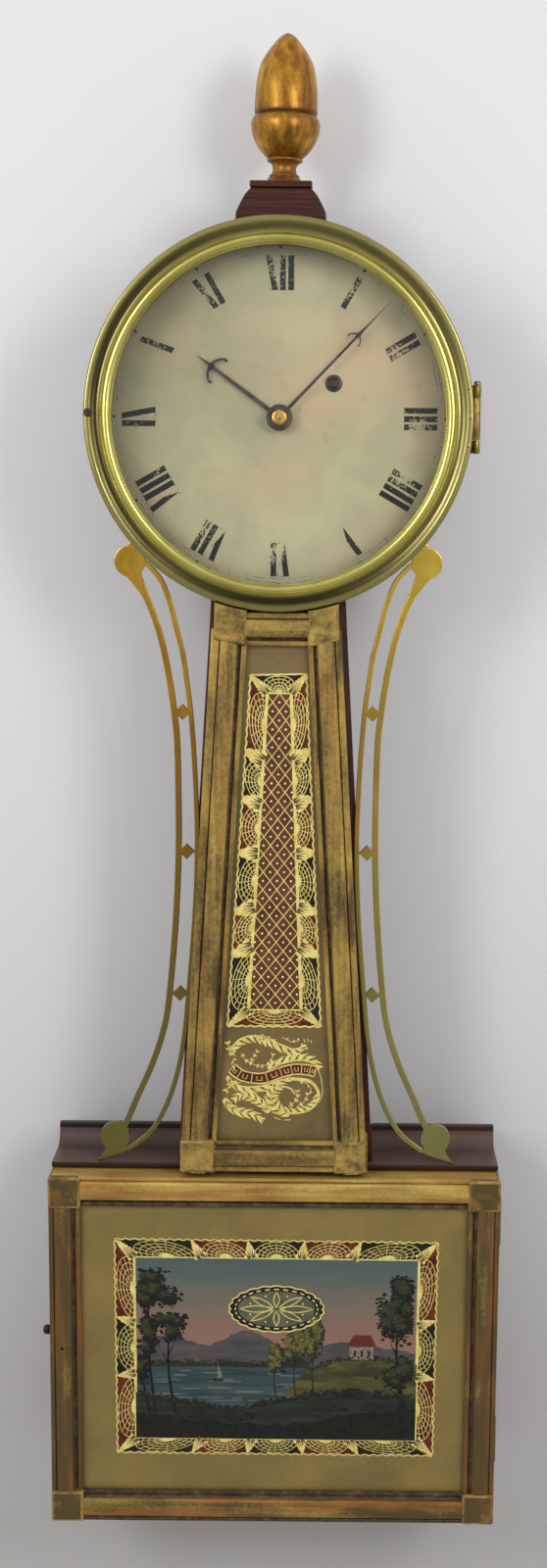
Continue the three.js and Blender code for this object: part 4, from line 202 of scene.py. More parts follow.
class Form:
    """One piece in the making. Its paints are numbers of the looks that it is given in the end."""

    def __init__(self, name):
        self.name = name
        self.mesh = bmesh.new()

    def skin(self, rows, paint=0, ends=False):
        """Faces over rings of equally many points; a list of paints has one for each side of the rings."""
        made = [[self.mesh.verts.new(p) for p in row] for row in rows]
        paints = paint if isinstance(paint, list) else [paint] * len(rows[0])
        for near, far in zip(made, made[1:]):
            for i, colour in enumerate(paints):
                j = (i + 1) % len(near)
                self.mesh.faces.new((near[i], near[j], far[j], far[i])).material_index = colour
        for end in (made[0], made[-1]) if ends else ():
            self.mesh.faces.new(end).material_index = paints[0]

    def lathe(self, profile, place, sides=96, paint=0):
        """A turned form: profile holds (radius, height), and place puts (u, v, height) in the frame."""
        angles = [TURN * i / sides for i in range(sides)]
        self.skin([[place(r * cos(a), r * sin(a), h) for a in angles] for r, h in profile], paint)

    def run(self, section, start, end, across, paints):
        """A straight member: section holds (inset, d) and across says how an inset moves x and z."""
        rows = [[at(x + across[0] * u, d, z + across[1] * u) for u, d in section] for x, z in (start, end)]
        self.skin(rows, paints, ends=True)

    def strip(self, spine, width, back, front, edge=0.7, paint=0):
        """A bar with rounded edges along a line seen from the front; width is one number or a list of them."""
        widths = width if isinstance(width, list) else [width] * len(spine)
        rows = []
        for (x, z), (nx, nz), w in zip(spine, offsets(spine), widths):
            soft = min(edge, w / 2 * 0.9)
            u, near, far = w / 2 - soft, front - soft, back + soft
            corners = enumerate(((u, near), (-u, near), (-u, far), (u, far)))
            around = [p for i, c in corners for p in arc(c, soft, i * QUARTER, (i + 1) * QUARTER, 3)]
            rows.append([at(x + nx * u, d, z + nz * u) for u, d in around])
        self.skin(rows, paint, ends=True)

    def prism(self, outline, back, front, edge=0.0, steps=2, paint=0, worn=None):
        """A flat plate seen from the front, its edges eased and, where worn is given, painted by it."""
        part = bmesh.new()
        rows = [[part.verts.new(at(x, d, z)) for x, z in outline] for d in (back, front)]
        for row in rows:
            part.faces.new(row)
        for i in range(len(outline)):
            j = (i + 1) % len(outline)
            part.faces.new((rows[0][i], rows[0][j], rows[1][j], rows[1][i]))
        bmesh.ops.recalc_face_normals(part, faces=part.faces)
        eased = []
        if edge:
            sharp = [e for e in part.edges if e.calc_face_angle(0) > CREASE]
            eased = bmesh.ops.bevel(
                part, geom=sharp, offset=edge * MM, segments=steps, profile=0.5,
                affect="EDGES", clamp_overlap=True,
            )["faces"]
        for face in part.faces:
            face.material_index = paint
        for face in eased:
            face.material_index = paint if worn is None else worn
        data = bpy.data.meshes.new("part")
        part.to_mesh(data)
        part.free()
        self.mesh.from_mesh(data)
        bpy.data.meshes.remove(data)

    def leafing(self, points, d, paint=0):
        """A flat coat seen from the front."""
        area = sum(a[0] * b[1] - b[0] * a[1] for a, b in zip(points, points[1:] + points[:1]))
        facing_out = points if area > 0 else points[::-1]
        face = self.mesh.faces.new([self.mesh.verts.new(at(x, d, z)) for x, z in facing_out])
        face.material_index = paint

    def stroke(self, points, width, d, paint=0, closed=False):
        """A painted line; width is one number or a list of them."""
        widths = width if isinstance(width, list) else [width] * len(points)
        normals = offsets(points, closed)
        near, far = [
            [(x + nx * w * side, z + nz * w * side) for (x, z), (nx, nz), w in zip(points, normals, widths)]
            for side in (-0.5, 0.5)
        ]
        for i in range(0 if closed else 1, len(points)):
            self.leafing([near[i - 1], near[i], far[i], far[i - 1]], d, paint)

    def dot(self, centre, radius, d, paint=0, sides=14):
        self.leafing(ring(centre, radius, sides), d, paint)

    def piece(self, body, slot, looks, nodes=(), solid=True, tools=()):
        """The finished object on its body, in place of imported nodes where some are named."""
        bmesh.ops.remove_doubles(self.mesh, verts=self.mesh.verts, dist=1e-7)
        if solid:
            bmesh.ops.recalc_face_normals(self.mesh, faces=self.mesh.faces)
        made = self.object(looks)
        for tool in tools:
            carve(made, tool)
        made.data.shade_smooth()
        made.data.set_sharp_from_angle(angle=CREASE)
        if solid:
            made.modifiers.new("weighted normals", "WEIGHTED_NORMAL").keep_sharp = True
        if body:
            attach(made, body)
        if nodes:
            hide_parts(*nodes)
        return made

    def object(self, looks=()):
        data = bpy.data.meshes.new(self.name)
        self.mesh.to_mesh(data)
        self.mesh.free()
        for look in looks:
            data.materials.append(look)
        made = bpy.data.objects.new(self.name, data)
        bpy.context.scene.collection.objects.link(made)
        return made


def carve(made, form):
    """Cuts a form out of an object's mesh."""
    bmesh.ops.recalc_face_normals(form.mesh, faces=form.mesh.faces)
    tool = form.object()
    cut = made.modifiers.new("cut", "BOOLEAN")
    cut.operation = "DIFFERENCE"
    cut.solver = "EXACT"
    cut.use_self = True
    cut.object = tool
    bpy.context.view_layer.update()
    seen = made.evaluated_get(bpy.context.evaluated_depsgraph_get())
    result = bpy.data.meshes.new_from_object(seen)
    made.modifiers.clear()
    made.data = result
    bpy.data.objects.remove(tool)


def cutter(outline, d):
    form = Form("tool")
    form.prism(outline, *d)
    return form


def box_tool(x, d, z):
    return cutter(rect(x, z), d)


def rod_tool(centre, radius, d, sides=24):
    return cutter(ring(centre, radius, sides), d)


# Materials


def tone(colour):
    """A colour as a screen shows it, or a level of grey as it is, in Blender's own terms."""
    if not isinstance(colour, tuple):
        return (colour, colour, colour, 1.0)
    shares = [c / 255 for c in colour]
    return tuple(s / 12.92 if s <= 0.04045 else ((s + 0.055) / 1.055) ** 2.4 for s in shares) + (1.0,)


def drawn(axis, along, across):
    """Sizes of a pattern that is drawn out along one axis."""
    return tuple(along if name == axis else across for name in "xyz")


class Nodes:
    """A tree of nodes in the making. A colour in it is a screen's (red, green, blue) or a level of grey."""

    def __init__(self, tree):
        self.tree = tree

    def node(self, kind, values=(), **settings):
        made = self.tree.nodes.new(kind)
        for name, value in settings.items():
            setattr(made, name, value)
        for socket, value in dict(values).items():
            self.give(made.inputs[socket], value)
        return made

    def give(self, socket, value):
        if isinstance(value, bpy.types.NodeSocket):
            self.tree.links.new(value, socket)
        else:
            socket.default_value = tone(value) if socket.type == "RGBA" else value

    def math(self, way, first, second=0.0):
        return self.node("ShaderNodeMath", {0: first, 1: second}, operation=way).outputs[0]

    def sum(self, *pairs):
        """Values added up, each times its share."""
        total = 0.0
        for value, share in pairs:
            total = self.math("ADD", total, self.math("MULTIPLY", value, share))
        return total

    def share(self, value, low, high, start=0.0, end=1.0):
        """Goes from start to end while a value goes from low to high."""
        values = {"Value": value, "From Min": low, "From Max": high, "To Min": start, "To Max": end}
        return self.node("ShaderNodeMapRange", values).outputs[0]


class Look(Nodes):
    """A material. Its patterns are measured in millimetres of the piece's own space."""

    def __init__(self, name):
        self.material = bpy.data.materials.new(name)
        self.material.use_nodes = True
        super().__init__(self.material.node_tree)
        self.shader = self.tree.nodes["Principled BSDF"]
        self.place = self.node("ShaderNodeTexCoord").outputs["Object"]

    def noise(self, size, detail=3.0, rough=0.55, warp=0.0, shift=0.0):
        """Blotches of about a size, from 0 to 1."""
        sizes = size if isinstance(size, tuple) else (size,) * 3
        scale, shifts = tuple(1 / (s * MM) for s in sizes), (shift,) * 3
        place = self.node("ShaderNodeMapping", {"Vector": self.place, "Scale": scale, "Location": shifts}).outputs[0]
        values = {"Vector": place, "Scale": 1.0, "Detail": detail, "Roughness": rough, "Distortion": warp}
        return self.node("ShaderNodeTexNoise", values).outputs["Fac"]

    def ramp(self, value, *stops):
        """A colour for each value, between stops of (value, colour)."""
        made = self.node("ShaderNodeValToRGB", {"Fac": value})
        marks = made.color_ramp.elements
        for _ in stops[2:]:
            marks.new(0.5)
        for mark, (place, _) in zip(marks, stops):
            mark.position = place
        for mark, (_, colour) in zip(marks, stops):
            mark.color = tone(colour)
        return made.outputs["Color"]

    def mix(self, share, first, second):
        made = self.node("ShaderNodeMix", data_type="RGBA", blend_type="MIX")
        for socket, value in zip((made.inputs[0], made.inputs[6], made.inputs[7]), (share, first, second)):
            self.give(socket, value)
        return made.outputs[2]

    def stain(self, colour, over, value, low, high, most, least=0.0):
        """Lays a second colour over one, from least of it at a low value to most of it at a high one."""
        return self.mix(self.ramp(value, (low, least), (high, most)), colour, over)

    def axis(self, name):
        """One coordinate, in millimetres."""
        parts = self.node("ShaderNodeSeparateXYZ", {"Vector": self.place})
        return self.math("DIVIDE", parts.outputs[name.upper()], MM)

    def away(self, x, z):
        """The distance from a place, seen from the front, in millimetres."""
        ways = [self.math("SUBTRACT", self.axis(name), middle) for name, middle in (("x", x), ("z", z))]
        return self.math("SQRT", self.math("ADD", *(self.math("MULTIPLY", way, way) for way in ways)))

    def near(self, x, z, reach, most):
        """How near a point is to a place: most at the place, 0 beyond its reach."""
        return self.math("MULTIPLY", self.share(self.away(x, z), reach, 0.0), most)

    def finish(self, colour, roughness, metal=0.0, coat=0.0, bump=None, depth=0.1, specular=0.5):
        """Sets the surface; depth is the height of the bump in millimetres."""
        values = {
            "Base Color": colour, "Roughness": roughness, "Metallic": metal, "Specular IOR Level": specular,
            "Coat Weight": coat, "Coat Roughness": 0.08,
        }
        if bump is not None:
            bumps = self.node("ShaderNodeBump", {"Height": bump, "Distance": depth * MM, "Strength": 1.0})
            values["Normal"] = bumps.outputs[0]
        for socket, value in values.items():
            self.give(self.shader.inputs[socket], value)
        return self.material

    def clear(self, share, colour=1.0):
        """Lets light straight through where a share is 1."""
        through = self.node("ShaderNodeBsdfTransparent", {"Color": colour})
        both = self.node("ShaderNodeMixShader", {0: share, 1: self.shader.outputs[0], 2: through.outputs[0]})
        self.give(self.tree.nodes["Material Output"].inputs["Surface"], both.outputs[0])
        return self.material


def mahogany(name, along, painted_sheen=0.0, deep=0.0):
    look = Look(name)
    band = look.noise(drawn(along, 260, 15), detail=2, warp=0.5)
    fibre = look.noise(drawn(along, 60, 1.5), detail=5, rough=0.6)
    pore = look.noise(drawn(along, 9, 0.4), detail=2)
    figure = look.sum((band, 0.4), (fibre, 0.4), (pore, 0.2))
    colour = look.ramp(figure, (0.38, (30, 11, 5)), (0.5, (70, 29, 14)), (0.62, (108, 52, 28)))
    worn = look.noise(38, detail=4)
    colour = look.stain(colour, (30, 16, 12), worn, 0.45, 0.8, 0.5)
    # Painted shade: the deep share darkens the whole piece towards dark brown.
    if deep:
        colour = look.mix(deep, colour, (32, 15, 11))
    # Painted sheen: a pale grey laid over the wood in patches, for the shine of a flat that faces up.
    if painted_sheen:
        colour = look.stain(colour, (104, 92, 86), worn, 0.3, 0.7, painted_sheen, painted_sheen * 0.7)
    rough = look.ramp(fibre, (0.3, 0.3), (0.7, 0.46))
    return look.finish(colour, rough, coat=0.08, bump=pore, depth=0.12, specular=0.3)


def gilding(name, along, dull=0.0, warm=0.5, seed=0):
    """Bronze leaf over red bole: dull moves it to olive brown, warm to orange."""
    look = Look(name)

    def pattern(length, width, size, **settings):
        return look.noise(drawn(along, length, width) if along else size, **settings)

    streak = pattern(70, 2.4, 8, detail=4, shift=seed)
    patch = pattern(52, 20, 16, warp=0.6, shift=seed)
    fleck = look.noise(1.8, detail=4, rough=0.65)
    wear = look.sum((streak, 0.28), (patch, 0.5), (fleck, 0.22))
    low = 0.38 + dull * 0.1
    tones = ((0, (92, 75, 40)), (0.07, (136, 113, 56)), (0.15, (174, 144, 70)), (0.27, (208, 177, 94)))
    colour = look.ramp(wear, *((low + step, gold) for step, gold in tones))
    bole = pattern(60, 6, 9, detail=4, shift=7 + seed)
    colour = look.stain(colour, (170, 104, 44), bole, 0.52 - 0.08 * warm, 0.68, 0.2 + 0.6 * warm)
    grime = look.noise(4.5, detail=5, rough=0.7, shift=3)
    colour = look.stain(colour, (66, 54, 32), grime, 0.6, 0.74, 0.4)
    rough = look.ramp(fleck, (0.35, 0.34), (0.65, 0.52))
    return look.finish(colour, rough, metal=0.3, bump=look.sum((streak, 0.7), (fleck, 0.3)), depth=0.16)


def groove(name):
    look = Look(name)
    # The grooves' dark paint; it is also laid on some beads of the door's rails as painted shade.
    mottle = look.noise(5, detail=5, rough=0.7)
    colour = look.ramp(mottle, (0.4, (52, 40, 25)), (0.55, (78, 62, 38)), (0.72, (124, 100, 56)))
    return look.finish(colour, 0.6, metal=0.15, bump=mottle, depth=0.2)


FINIAL_STEM, FINIAL_RIM = (123.0, 143.0), (158.6, 163.6)


def leaf_gilt(name):
    """The finial's leaf: smooth and warm, rubbed in places, coppery at its stem and dark under its nut."""
    look = Look(name)
    rub = look.noise(drawn("z", 26, 5), detail=4, warp=0.4)
    fleck = look.noise(1.6, detail=5, rough=0.7)
    tide = look.noise(14, detail=3, shift=5)
    wear = look.sum((rub, 0.5), (tide, 0.3), (fleck, 0.2))
    colour = look.ramp(wear, (0.38, (112, 70, 18)), (0.5, (164, 114, 32)), (0.62, (206, 156, 54)))
    stem = look.share(look.axis("z"), *FINIAL_STEM)
    colour = look.mix(look.ramp(stem, (0.0, 0.75), (0.5, 0.6), (1.0, 0.0)), colour, (132, 80, 42))
    rim = look.share(look.axis("z"), *FINIAL_RIM)
    colour = look.mix(look.ramp(rim, (0.0, 0.0), (0.4, 0.75), (0.6, 0.75), (1.0, 0.0)), colour, (92, 46, 22))
    spots = look.noise(1.3, detail=2, shift=11)
    colour = look.stain(colour, (58, 30, 14), spots, 0.68, 0.74, 0.75)
    return look.finish(colour, look.ramp(fleck, (0.3, 0.3), (0.7, 0.44)), metal=0.6, bump=rub, depth=0.15)


def aged_brass(name, pale, deep, rough=(0.2, 0.36), size=18):
    look = Look(name)
    bloom = look.noise(size, detail=4, warp=0.8)
    spot = look.noise(2.4, detail=4, rough=0.7, shift=4)
    colour = look.ramp(look.sum((bloom, 0.7), (spot, 0.3)), (0.36, deep), (0.6, pale))
    dark = look.noise(3.5, shift=9)
    colour = look.stain(colour, (60, 48, 26), dark, 0.66, 0.78, 0.6)
    scratch = look.noise((30, 30, 0.6), detail=2)
    roughness = look.ramp(spot, (0.3, rough[0]), (0.7, rough[1]))
    return look.finish(colour, roughness, metal=1.0, bump=scratch, depth=0.03)


def arm_brass(name):
    """Thin brass that runs from yellow at the head through orange to olive at the foot, with painted light on the
    right-hand arm.
    """
    look = Look(name)
    bloom = look.noise(drawn("z", 40, 16), detail=4, warp=0.8)
    level = look.sum((look.share(look.axis("z"), -430, -60), 0.8), (bloom, 0.4))
    tones = ((0.08, (142, 134, 76)), (0.3, (150, 128, 64)), (0.55, (186, 136, 56)), (0.75, (214, 168, 62)),
             (0.95, (224, 198, 90)))
    colour = look.ramp(look.math("SUBTRACT", level, 0.2), *tones)
    # Painted light: the right-hand arm is mixed towards a brighter brass.
    right_arm_painted_light = look.math("MULTIPLY", look.share(look.axis("x"), 20, 60), 0.55)
    colour = look.mix(right_arm_painted_light, colour, look.ramp(level, (0.3, (186, 184, 116)), (0.9, (246, 214, 92))))
    colour = look.stain(colour, (70, 56, 28), look.noise(1.8, shift=4), 0.66, 0.78, 0.5)
    return look.finish(colour, look.ramp(bloom, (0.35, 0.2), (0.65, 0.34)), metal=1.0, bump=bloom, depth=0.06)


def bezel_brass(name):
    """Turned brass: polished and painted lighter as a highlight on its bead, tarnished in its hollow, with painted
    dark reflection in the hollow at the left and the foot.
    """
    look = Look(name)
    radius = look.away(0.0, 0.0)
    bloom = look.noise(30, warp=0.8)
    # The bead's bright tones are polish and a painted highlight; the hollow's darker tones are tarnish.
    tones = ((0.0, (150, 140, 84)), (0.12, (216, 208, 116)), (0.38, (222, 212, 122)), (0.46, (160, 150, 88)),
             (0.56, (124, 116, 70)), (0.72, (122, 114, 70)), (0.84, (176, 168, 104)), (1.0, (160, 150, 92)))
    colour = look.ramp(look.share(radius, 87, 103), *tones)
    colour = look.stain(colour, (126, 112, 62), bloom, 0.4, 0.7, 0.4)
    hollow = look.ramp(look.share(radius, 93, 101.5), (0.1, 0.0), (0.4, 1.0), (0.62, 1.0), (0.95, 0.0))
    # Painted reflection: the hollow is darkened towards the left and the foot, where the brass mirrors a dark room.
    left = look.share(look.axis("x"), -20, -100, 0.0, 0.8)
    foot = look.share(look.axis("z"), -70, -96, 0.0, 0.85)
    dark = look.math("MULTIPLY", hollow, look.math("MAXIMUM", left, foot))
    colour = look.mix(dark, colour, (30, 27, 15))
    spot = look.noise(2.0, shift=3)
    colour = look.stain(colour, (48, 38, 22), spot, 0.71, 0.77, 0.6)
    return look.finish(colour, look.ramp(bloom, (0.35, 0.22), (0.7, 0.34)), metal=1.0, bump=spot, depth=0.01)


def metal(name, pale, deep, rough=0.35, size=6, depth=0.03):
    look = Look(name)
    bloom = look.noise(size, detail=4)
    colour = look.ramp(bloom, (0.35, deep), (0.65, pale))
    roughness = look.ramp(bloom, (0.3, rough * 0.8), (0.7, min(1.0, rough * 1.3)))
    return look.finish(colour, roughness, metal=0.9, bump=bloom, depth=depth)


# Patches of the dial's paint: x, z, reach, how strongly, and the tone. The warm patches are painted reflection; the
# others are painted shade at the upper left and painted light at the foot.
PAINTED_REFLECTION_PATCHES = ((42, 30, 40, 0.75), (20, 8, 26, 0.5), (4, -28, 26, 0.45))
# The tones of the painted shade and the painted light.
SHADED, PAINTED_LIGHT_TONE = (110, 100, 70), (182, 176, 142)
PAINTED_SHADE_AND_LIGHT_PATCHES = ((-66, 66, 50, 0.4, SHADED), (-60, 24, 70, 0.45, SHADED), (10, -70, 60, 0.3, PAINTED_LIGHT_TONE))


def dial_tone(look):
    """Old dial paint: cream with grey-green clouds, warm patches of painted reflection, a rim darkened by grime and
    by painted shade from the bezel, and broad patches of painted shade and painted light.
    """
    cloud = look.noise(34, detail=4, warp=0.6)
    colour = look.ramp(cloud, (0.36, (148, 144, 112)), (0.5, (158, 150, 114)), (0.64, (166, 158, 120)))
    colour = look.stain(colour, (172, 146, 112), look.noise(46, detail=2, shift=8), 0.5, 0.68, 0.45)
    # Painted reflection: warm patches where the glass mirrors a warm light.
    for x, z, reach, depth in PAINTED_REFLECTION_PATCHES:
        painted_reflection = look.near(x, z, reach, look.ramp(cloud, (0.35, depth), (0.65, depth * 0.5)))
        colour = look.mix(painted_reflection, colour, (186, 152, 114))
    smudge = look.noise(11, detail=5, rough=0.65, shift=2)
    colour = look.stain(colour, (126, 118, 88), smudge, 0.58, 0.76, 0.45)
    # Grime and painted shade from the bezel: darker towards the rim.
    rim = look.math("ADD", look.away(0.0, 0.0), look.math("MULTIPLY", smudge, 12.0))
    colour = look.stain(colour, (112, 98, 66), look.share(rim, 86, 102), 0.0, 1.0, 0.6)
    # Painted shade at the upper left and painted light at the foot.
    for x, z, reach, depth, shade in PAINTED_SHADE_AND_LIGHT_PATCHES:
        colour = look.mix(look.near(x, z, reach, depth), colour, shade)
    return look.stain(colour, (82, 66, 42), look.noise(1.1, detail=2, shift=6), 0.74, 0.78, 0.6)


def dial_paint(name):
    look = Look(name)
    ripple = look.noise(7, detail=4)
    rough = look.ramp(ripple, (0.3, 0.34), (0.7, 0.5))
    return look.finish(dial_tone(look), rough, coat=0.15, bump=ripple, depth=0.05)


def worn_black(name, kept, places=()):
    """Black paint flaked off the dial; kept is the share that is left, and less of it in the places given."""
    look = Look(name)
    flake = look.noise(1.3, detail=4, rough=0.7)
    left = look.sum((flake, 0.7), (look.noise(20, detail=2, shift=5), 0.3))
    for x, z, reach, loss in places:
        left = look.math("ADD", left, look.near(x, z, reach, loss))
    edge = 0.36 + 0.3 * kept
    bare = look.ramp(left, (edge, 0.0), (edge + 0.02, 1.0))
    return look.finish(look.mix(bare, (16, 13, 13), dial_tone(look)), 0.6, bump=flake, depth=0.05, specular=0.1)


def paint(name, pale, deep, size=5.0, coat=0.25, along=None):
    """Oil paint behind glass: two tones in brush marks, under a clear gloss."""
    look = Look(name)
    marks = look.noise(drawn(along, size * 6, size) if along else size, detail=4, warp=0.4)
    return look.finish(look.ramp(marks, (0.36, deep), (0.64, pale)), 0.5, coat=coat, specular=0.25)


def leaf_paint(name, pale, deep):
    look = Look(name)
    colour = look.ramp(look.noise(4.5, detail=4), (0.36, deep), (0.6, pale))
    return look.finish(colour, 0.42, metal=0.15, coat=0.2)


def ground_paint(name, pale, deep):
    look = Look(name)
    cloud = look.noise(42, warp=0.5)
    grain = look.noise(3.0, detail=4, shift=5)
    colour = look.ramp(look.sum((cloud, 0.75), (grain, 0.25)), (0.36, deep), (0.64, pale))
    colour = look.stain(colour, (66, 54, 30), look.noise(1.6, detail=2, shift=9), 0.72, 0.78, 0.4)
    return look.finish(colour, 0.45, coat=0.25)


def sky_paint(name, low, high):
    """Evening sky in soft bands between two heights."""
    look = Look(name)
    drift = look.noise(drawn("x", 46, 7), detail=4, warp=0.5)
    level = look.math("ADD", look.share(look.axis("z"), low, high), look.math("MULTIPLY", drift, 0.3))
    tones = ((0.0, (150, 110, 92)), (0.25, (140, 104, 92)), (0.5, (122, 106, 92)), (0.72, (96, 100, 88)),
             (1.0, (70, 90, 92)))
    return look.finish(look.ramp(look.math("SUBTRACT", level, 0.15), *tones), 0.5, coat=0.25)


def clear_glass(name):
    """Clear glass that lets the lamps through to the dial."""
    look = Look(name)
    look.finish((250, 252, 250), 0.02, bump=look.noise(60, detail=2), depth=0.1)
    look.shader.inputs["Transmission Weight"].default_value = 1.0
    look.shader.inputs["IOR"].default_value = 1.45
    return look.clear(look.node("ShaderNodeLightPath").outputs["Is Shadow Ray"], 0.97)


MAHOGANY_UP = mahogany("mahogany_upright", "z")
MAHOGANY_ACROSS = mahogany("mahogany_across", "x")
MAHOGANY_PAINTED_SHEEN = mahogany("mahogany_painted_sheen", "x", painted_sheen=0.6)
MAHOGANY_PAINTED_SHADE = mahogany("mahogany_painted_shade", "x", deep=0.7)
GILT_UP = gilding("gilding_upright", "z", dull=0.3, warm=0.25)
GILT_ACROSS = gilding("gilding_across", "x", dull=0.5, warm=0.15, seed=2)
GILT_BLOCK = gilding("gilding_block", None, dull=0.1, warm=0.0, seed=4)
GILT_BOX_UP = gilding("gilding_box_upright", "z", dull=1.6, warm=0.45, seed=6)
GILT_RAIL = gilding("gilding_box_rail", "x", dull=-0.8, warm=1.0, seed=3)
GILT_FOOT = gilding("gilding_box_foot", "x", dull=1.2, warm=1.0, seed=9)
GILT_BOX_BLOCK = gilding("gilding_box_block", None, dull=1.5, warm=0.2, seed=8)
GILT_WORN = gilding("gilding_worn", None, dull=0.3, warm=0.5, seed=5)
GROOVE_AND_SHADE_LOOK = groove("gilding_groove_and_shade")
FINIAL_GILT = leaf_gilt("finial_leaf")
BEZEL_BRASS = bezel_brass("bezel_brass")
ARM_BRASS = arm_brass("arm_brass")
NUT_BRASS = aged_brass("nut_brass", (236, 200, 96), (196, 140, 52))
MOVEMENT_BRASS = aged_brass("movement_brass", (206, 178, 104), (168, 134, 66))
HINGE_BRASS = aged_brass("hinge_brass", (168, 146, 82), (96, 78, 40), rough=(0.3, 0.5), size=6)
STEEL = metal("grey_steel", (156, 152, 146), (92, 84, 76))
DARK_STEEL = metal("dark_steel", (84, 66, 62), (44, 34, 36), rough=0.4)
IRON = metal("cast_iron", (92, 86, 80), (50, 46, 42), rough=0.6, size=2.5, depth=0.4)
TIN = metal("tinplate", (128, 124, 116), (92, 86, 76), rough=0.5, size=20)
DIAL_PAINT = dial_paint("dial_paint")
CLEAR = clear_glass("clear_glass")
GUT = paint("gut", (176, 132, 72), (128, 88, 42), size=1.0, coat=0.2)


# The case


def finial():
    form = Form("finial_acorn")
    stretches = (FINIAL_FOOT, FINIAL_NECK, FINIAL_RING, FINIAL_CUP, FINIAL_NUT)
    sine, cosine = sin(FINIAL["lean"]), cos(FINIAL["lean"])

    def place(u, v, h):
        return at(FINIAL["x"] + u * cosine + h * sine, FINIAL["d"] + v, FINIAL["z"] + h * cosine - u * sine)

    form.lathe([p for points in stretches for p in flow(points, 3)], place, 72)
    form.piece("case", "gilt_wood", [FINIAL_GILT], ["finial"])


def plinth():
    p = PLINTH
    form = Form("finial_plinth_swell")
    shares = [(i / 10) ** 1.6 for i in range(11)]
    right = [(p["neck"] + (p["base"] - p["neck"]) * s**0.6, p["cap_low"] - p["swell"] * s) for s in shares]
    foot = HEAD.z[1] + 0.3
    lean = asin((p["base"] + 0.6) / foot)
    form.prism(right + dial_arc(foot, lean, -lean, 16) + mirrored(right[::-1]), p["back"], p["front"], edge=0.6)
    cap = rect((-p["cap"], p["cap"]), (p["cap_low"], p["cap_top"]))
    form.prism(cap, p["cap_back"], p["cap_front"], edge=0.9, steps=3)
    form.piece("case", "mahogany", [MAHOGANY_ACROSS], ["finial_plinth"])


# The gilt frames: their paints, and the beads of each moulding from its outer edge inwards. A bead is given as
# (from, to, foot, crown), the last two below the front of the moulding.

# The second paint is the grooves' dark paint; it is also laid on some beads of the door's rails as painted shade.
RAISED, GROOVE_AND_SHADE, STILE, BLOCK, WORN_EDGE, FOOT_RAIL = range(6)
BEAD_STEPS = 12
BOX_STILE = [(0, 2.9, 3.2, 1.3), (3.0, 12.9, 3.0, 0), (14.9, 18.0, 4.2, 2.4)]
BOX_RAIL = [(0, 2.3, 3.2, 1.0), (2.5, 13.8, 3.0, 0), (15.2, 18.0, 4.4, 3.0)]
THROAT_BEADS = [(3.5, 13.2, 3.2, 0), (15.0, 17.9, 4.4, 2.6)]
BOX_LIP, THROAT_LIP, LIP = 91.2, 92.0, 6  # where the lip behind each pane begins, and its width
BOX_BLOCK, THROAT_BLOCK = (18.3, 18.3), (19, 18.6)
# In the door's stiles, from its lower left corner: the key hole, the latch's pocket and the hinges' mortises
KEYHOLE = {"x": 7.1, "z": 105, "radius": 1.1}
POCKET = {"x": (-118.6, -115.4), "front": 84.6, "z": (102.4, 119.6)}
MORTISE = {"x": 116, "deep": 1.3, "z": (-1.2, 27.6), "at": (29.2, 161.8)}


def bead(start, end, foot, top):
    """The crown of a bead, flatter than a half circle."""
    line = []
    for angle in stretch(pi, 0, BEAD_STEPS):
        c, s = cos(angle), max(0.0, sin(angle))
        u = (start + end + (end - start) * copysign(sqrt(abs(c)), c)) / 2
        line.append((u, foot + (top - foot) * sqrt(s)))
    return line


def gilt_section(back, front, beads, lip, last=RAISED):
    """The closed section of a moulding with a lip behind its pane, and the paint of each of its faces."""
    points, paints = [(beads[0][0], back)], [RAISED]
    width = beads[-1][1]
    for start, end, foot, top in beads:
        points += bead(start, end, front - foot, front - top)
        paints += [last if end == width else RAISED] * BEAD_STEPS + [GROOVE_AND_SHADE]
    return points + [(width, lip), (width - LIP, lip), (width - LIP, back)], paints + [GROOVE_AND_SHADE] * 3


def repainted(paints, colour):
    return [colour if old == RAISED else old for old in paints]


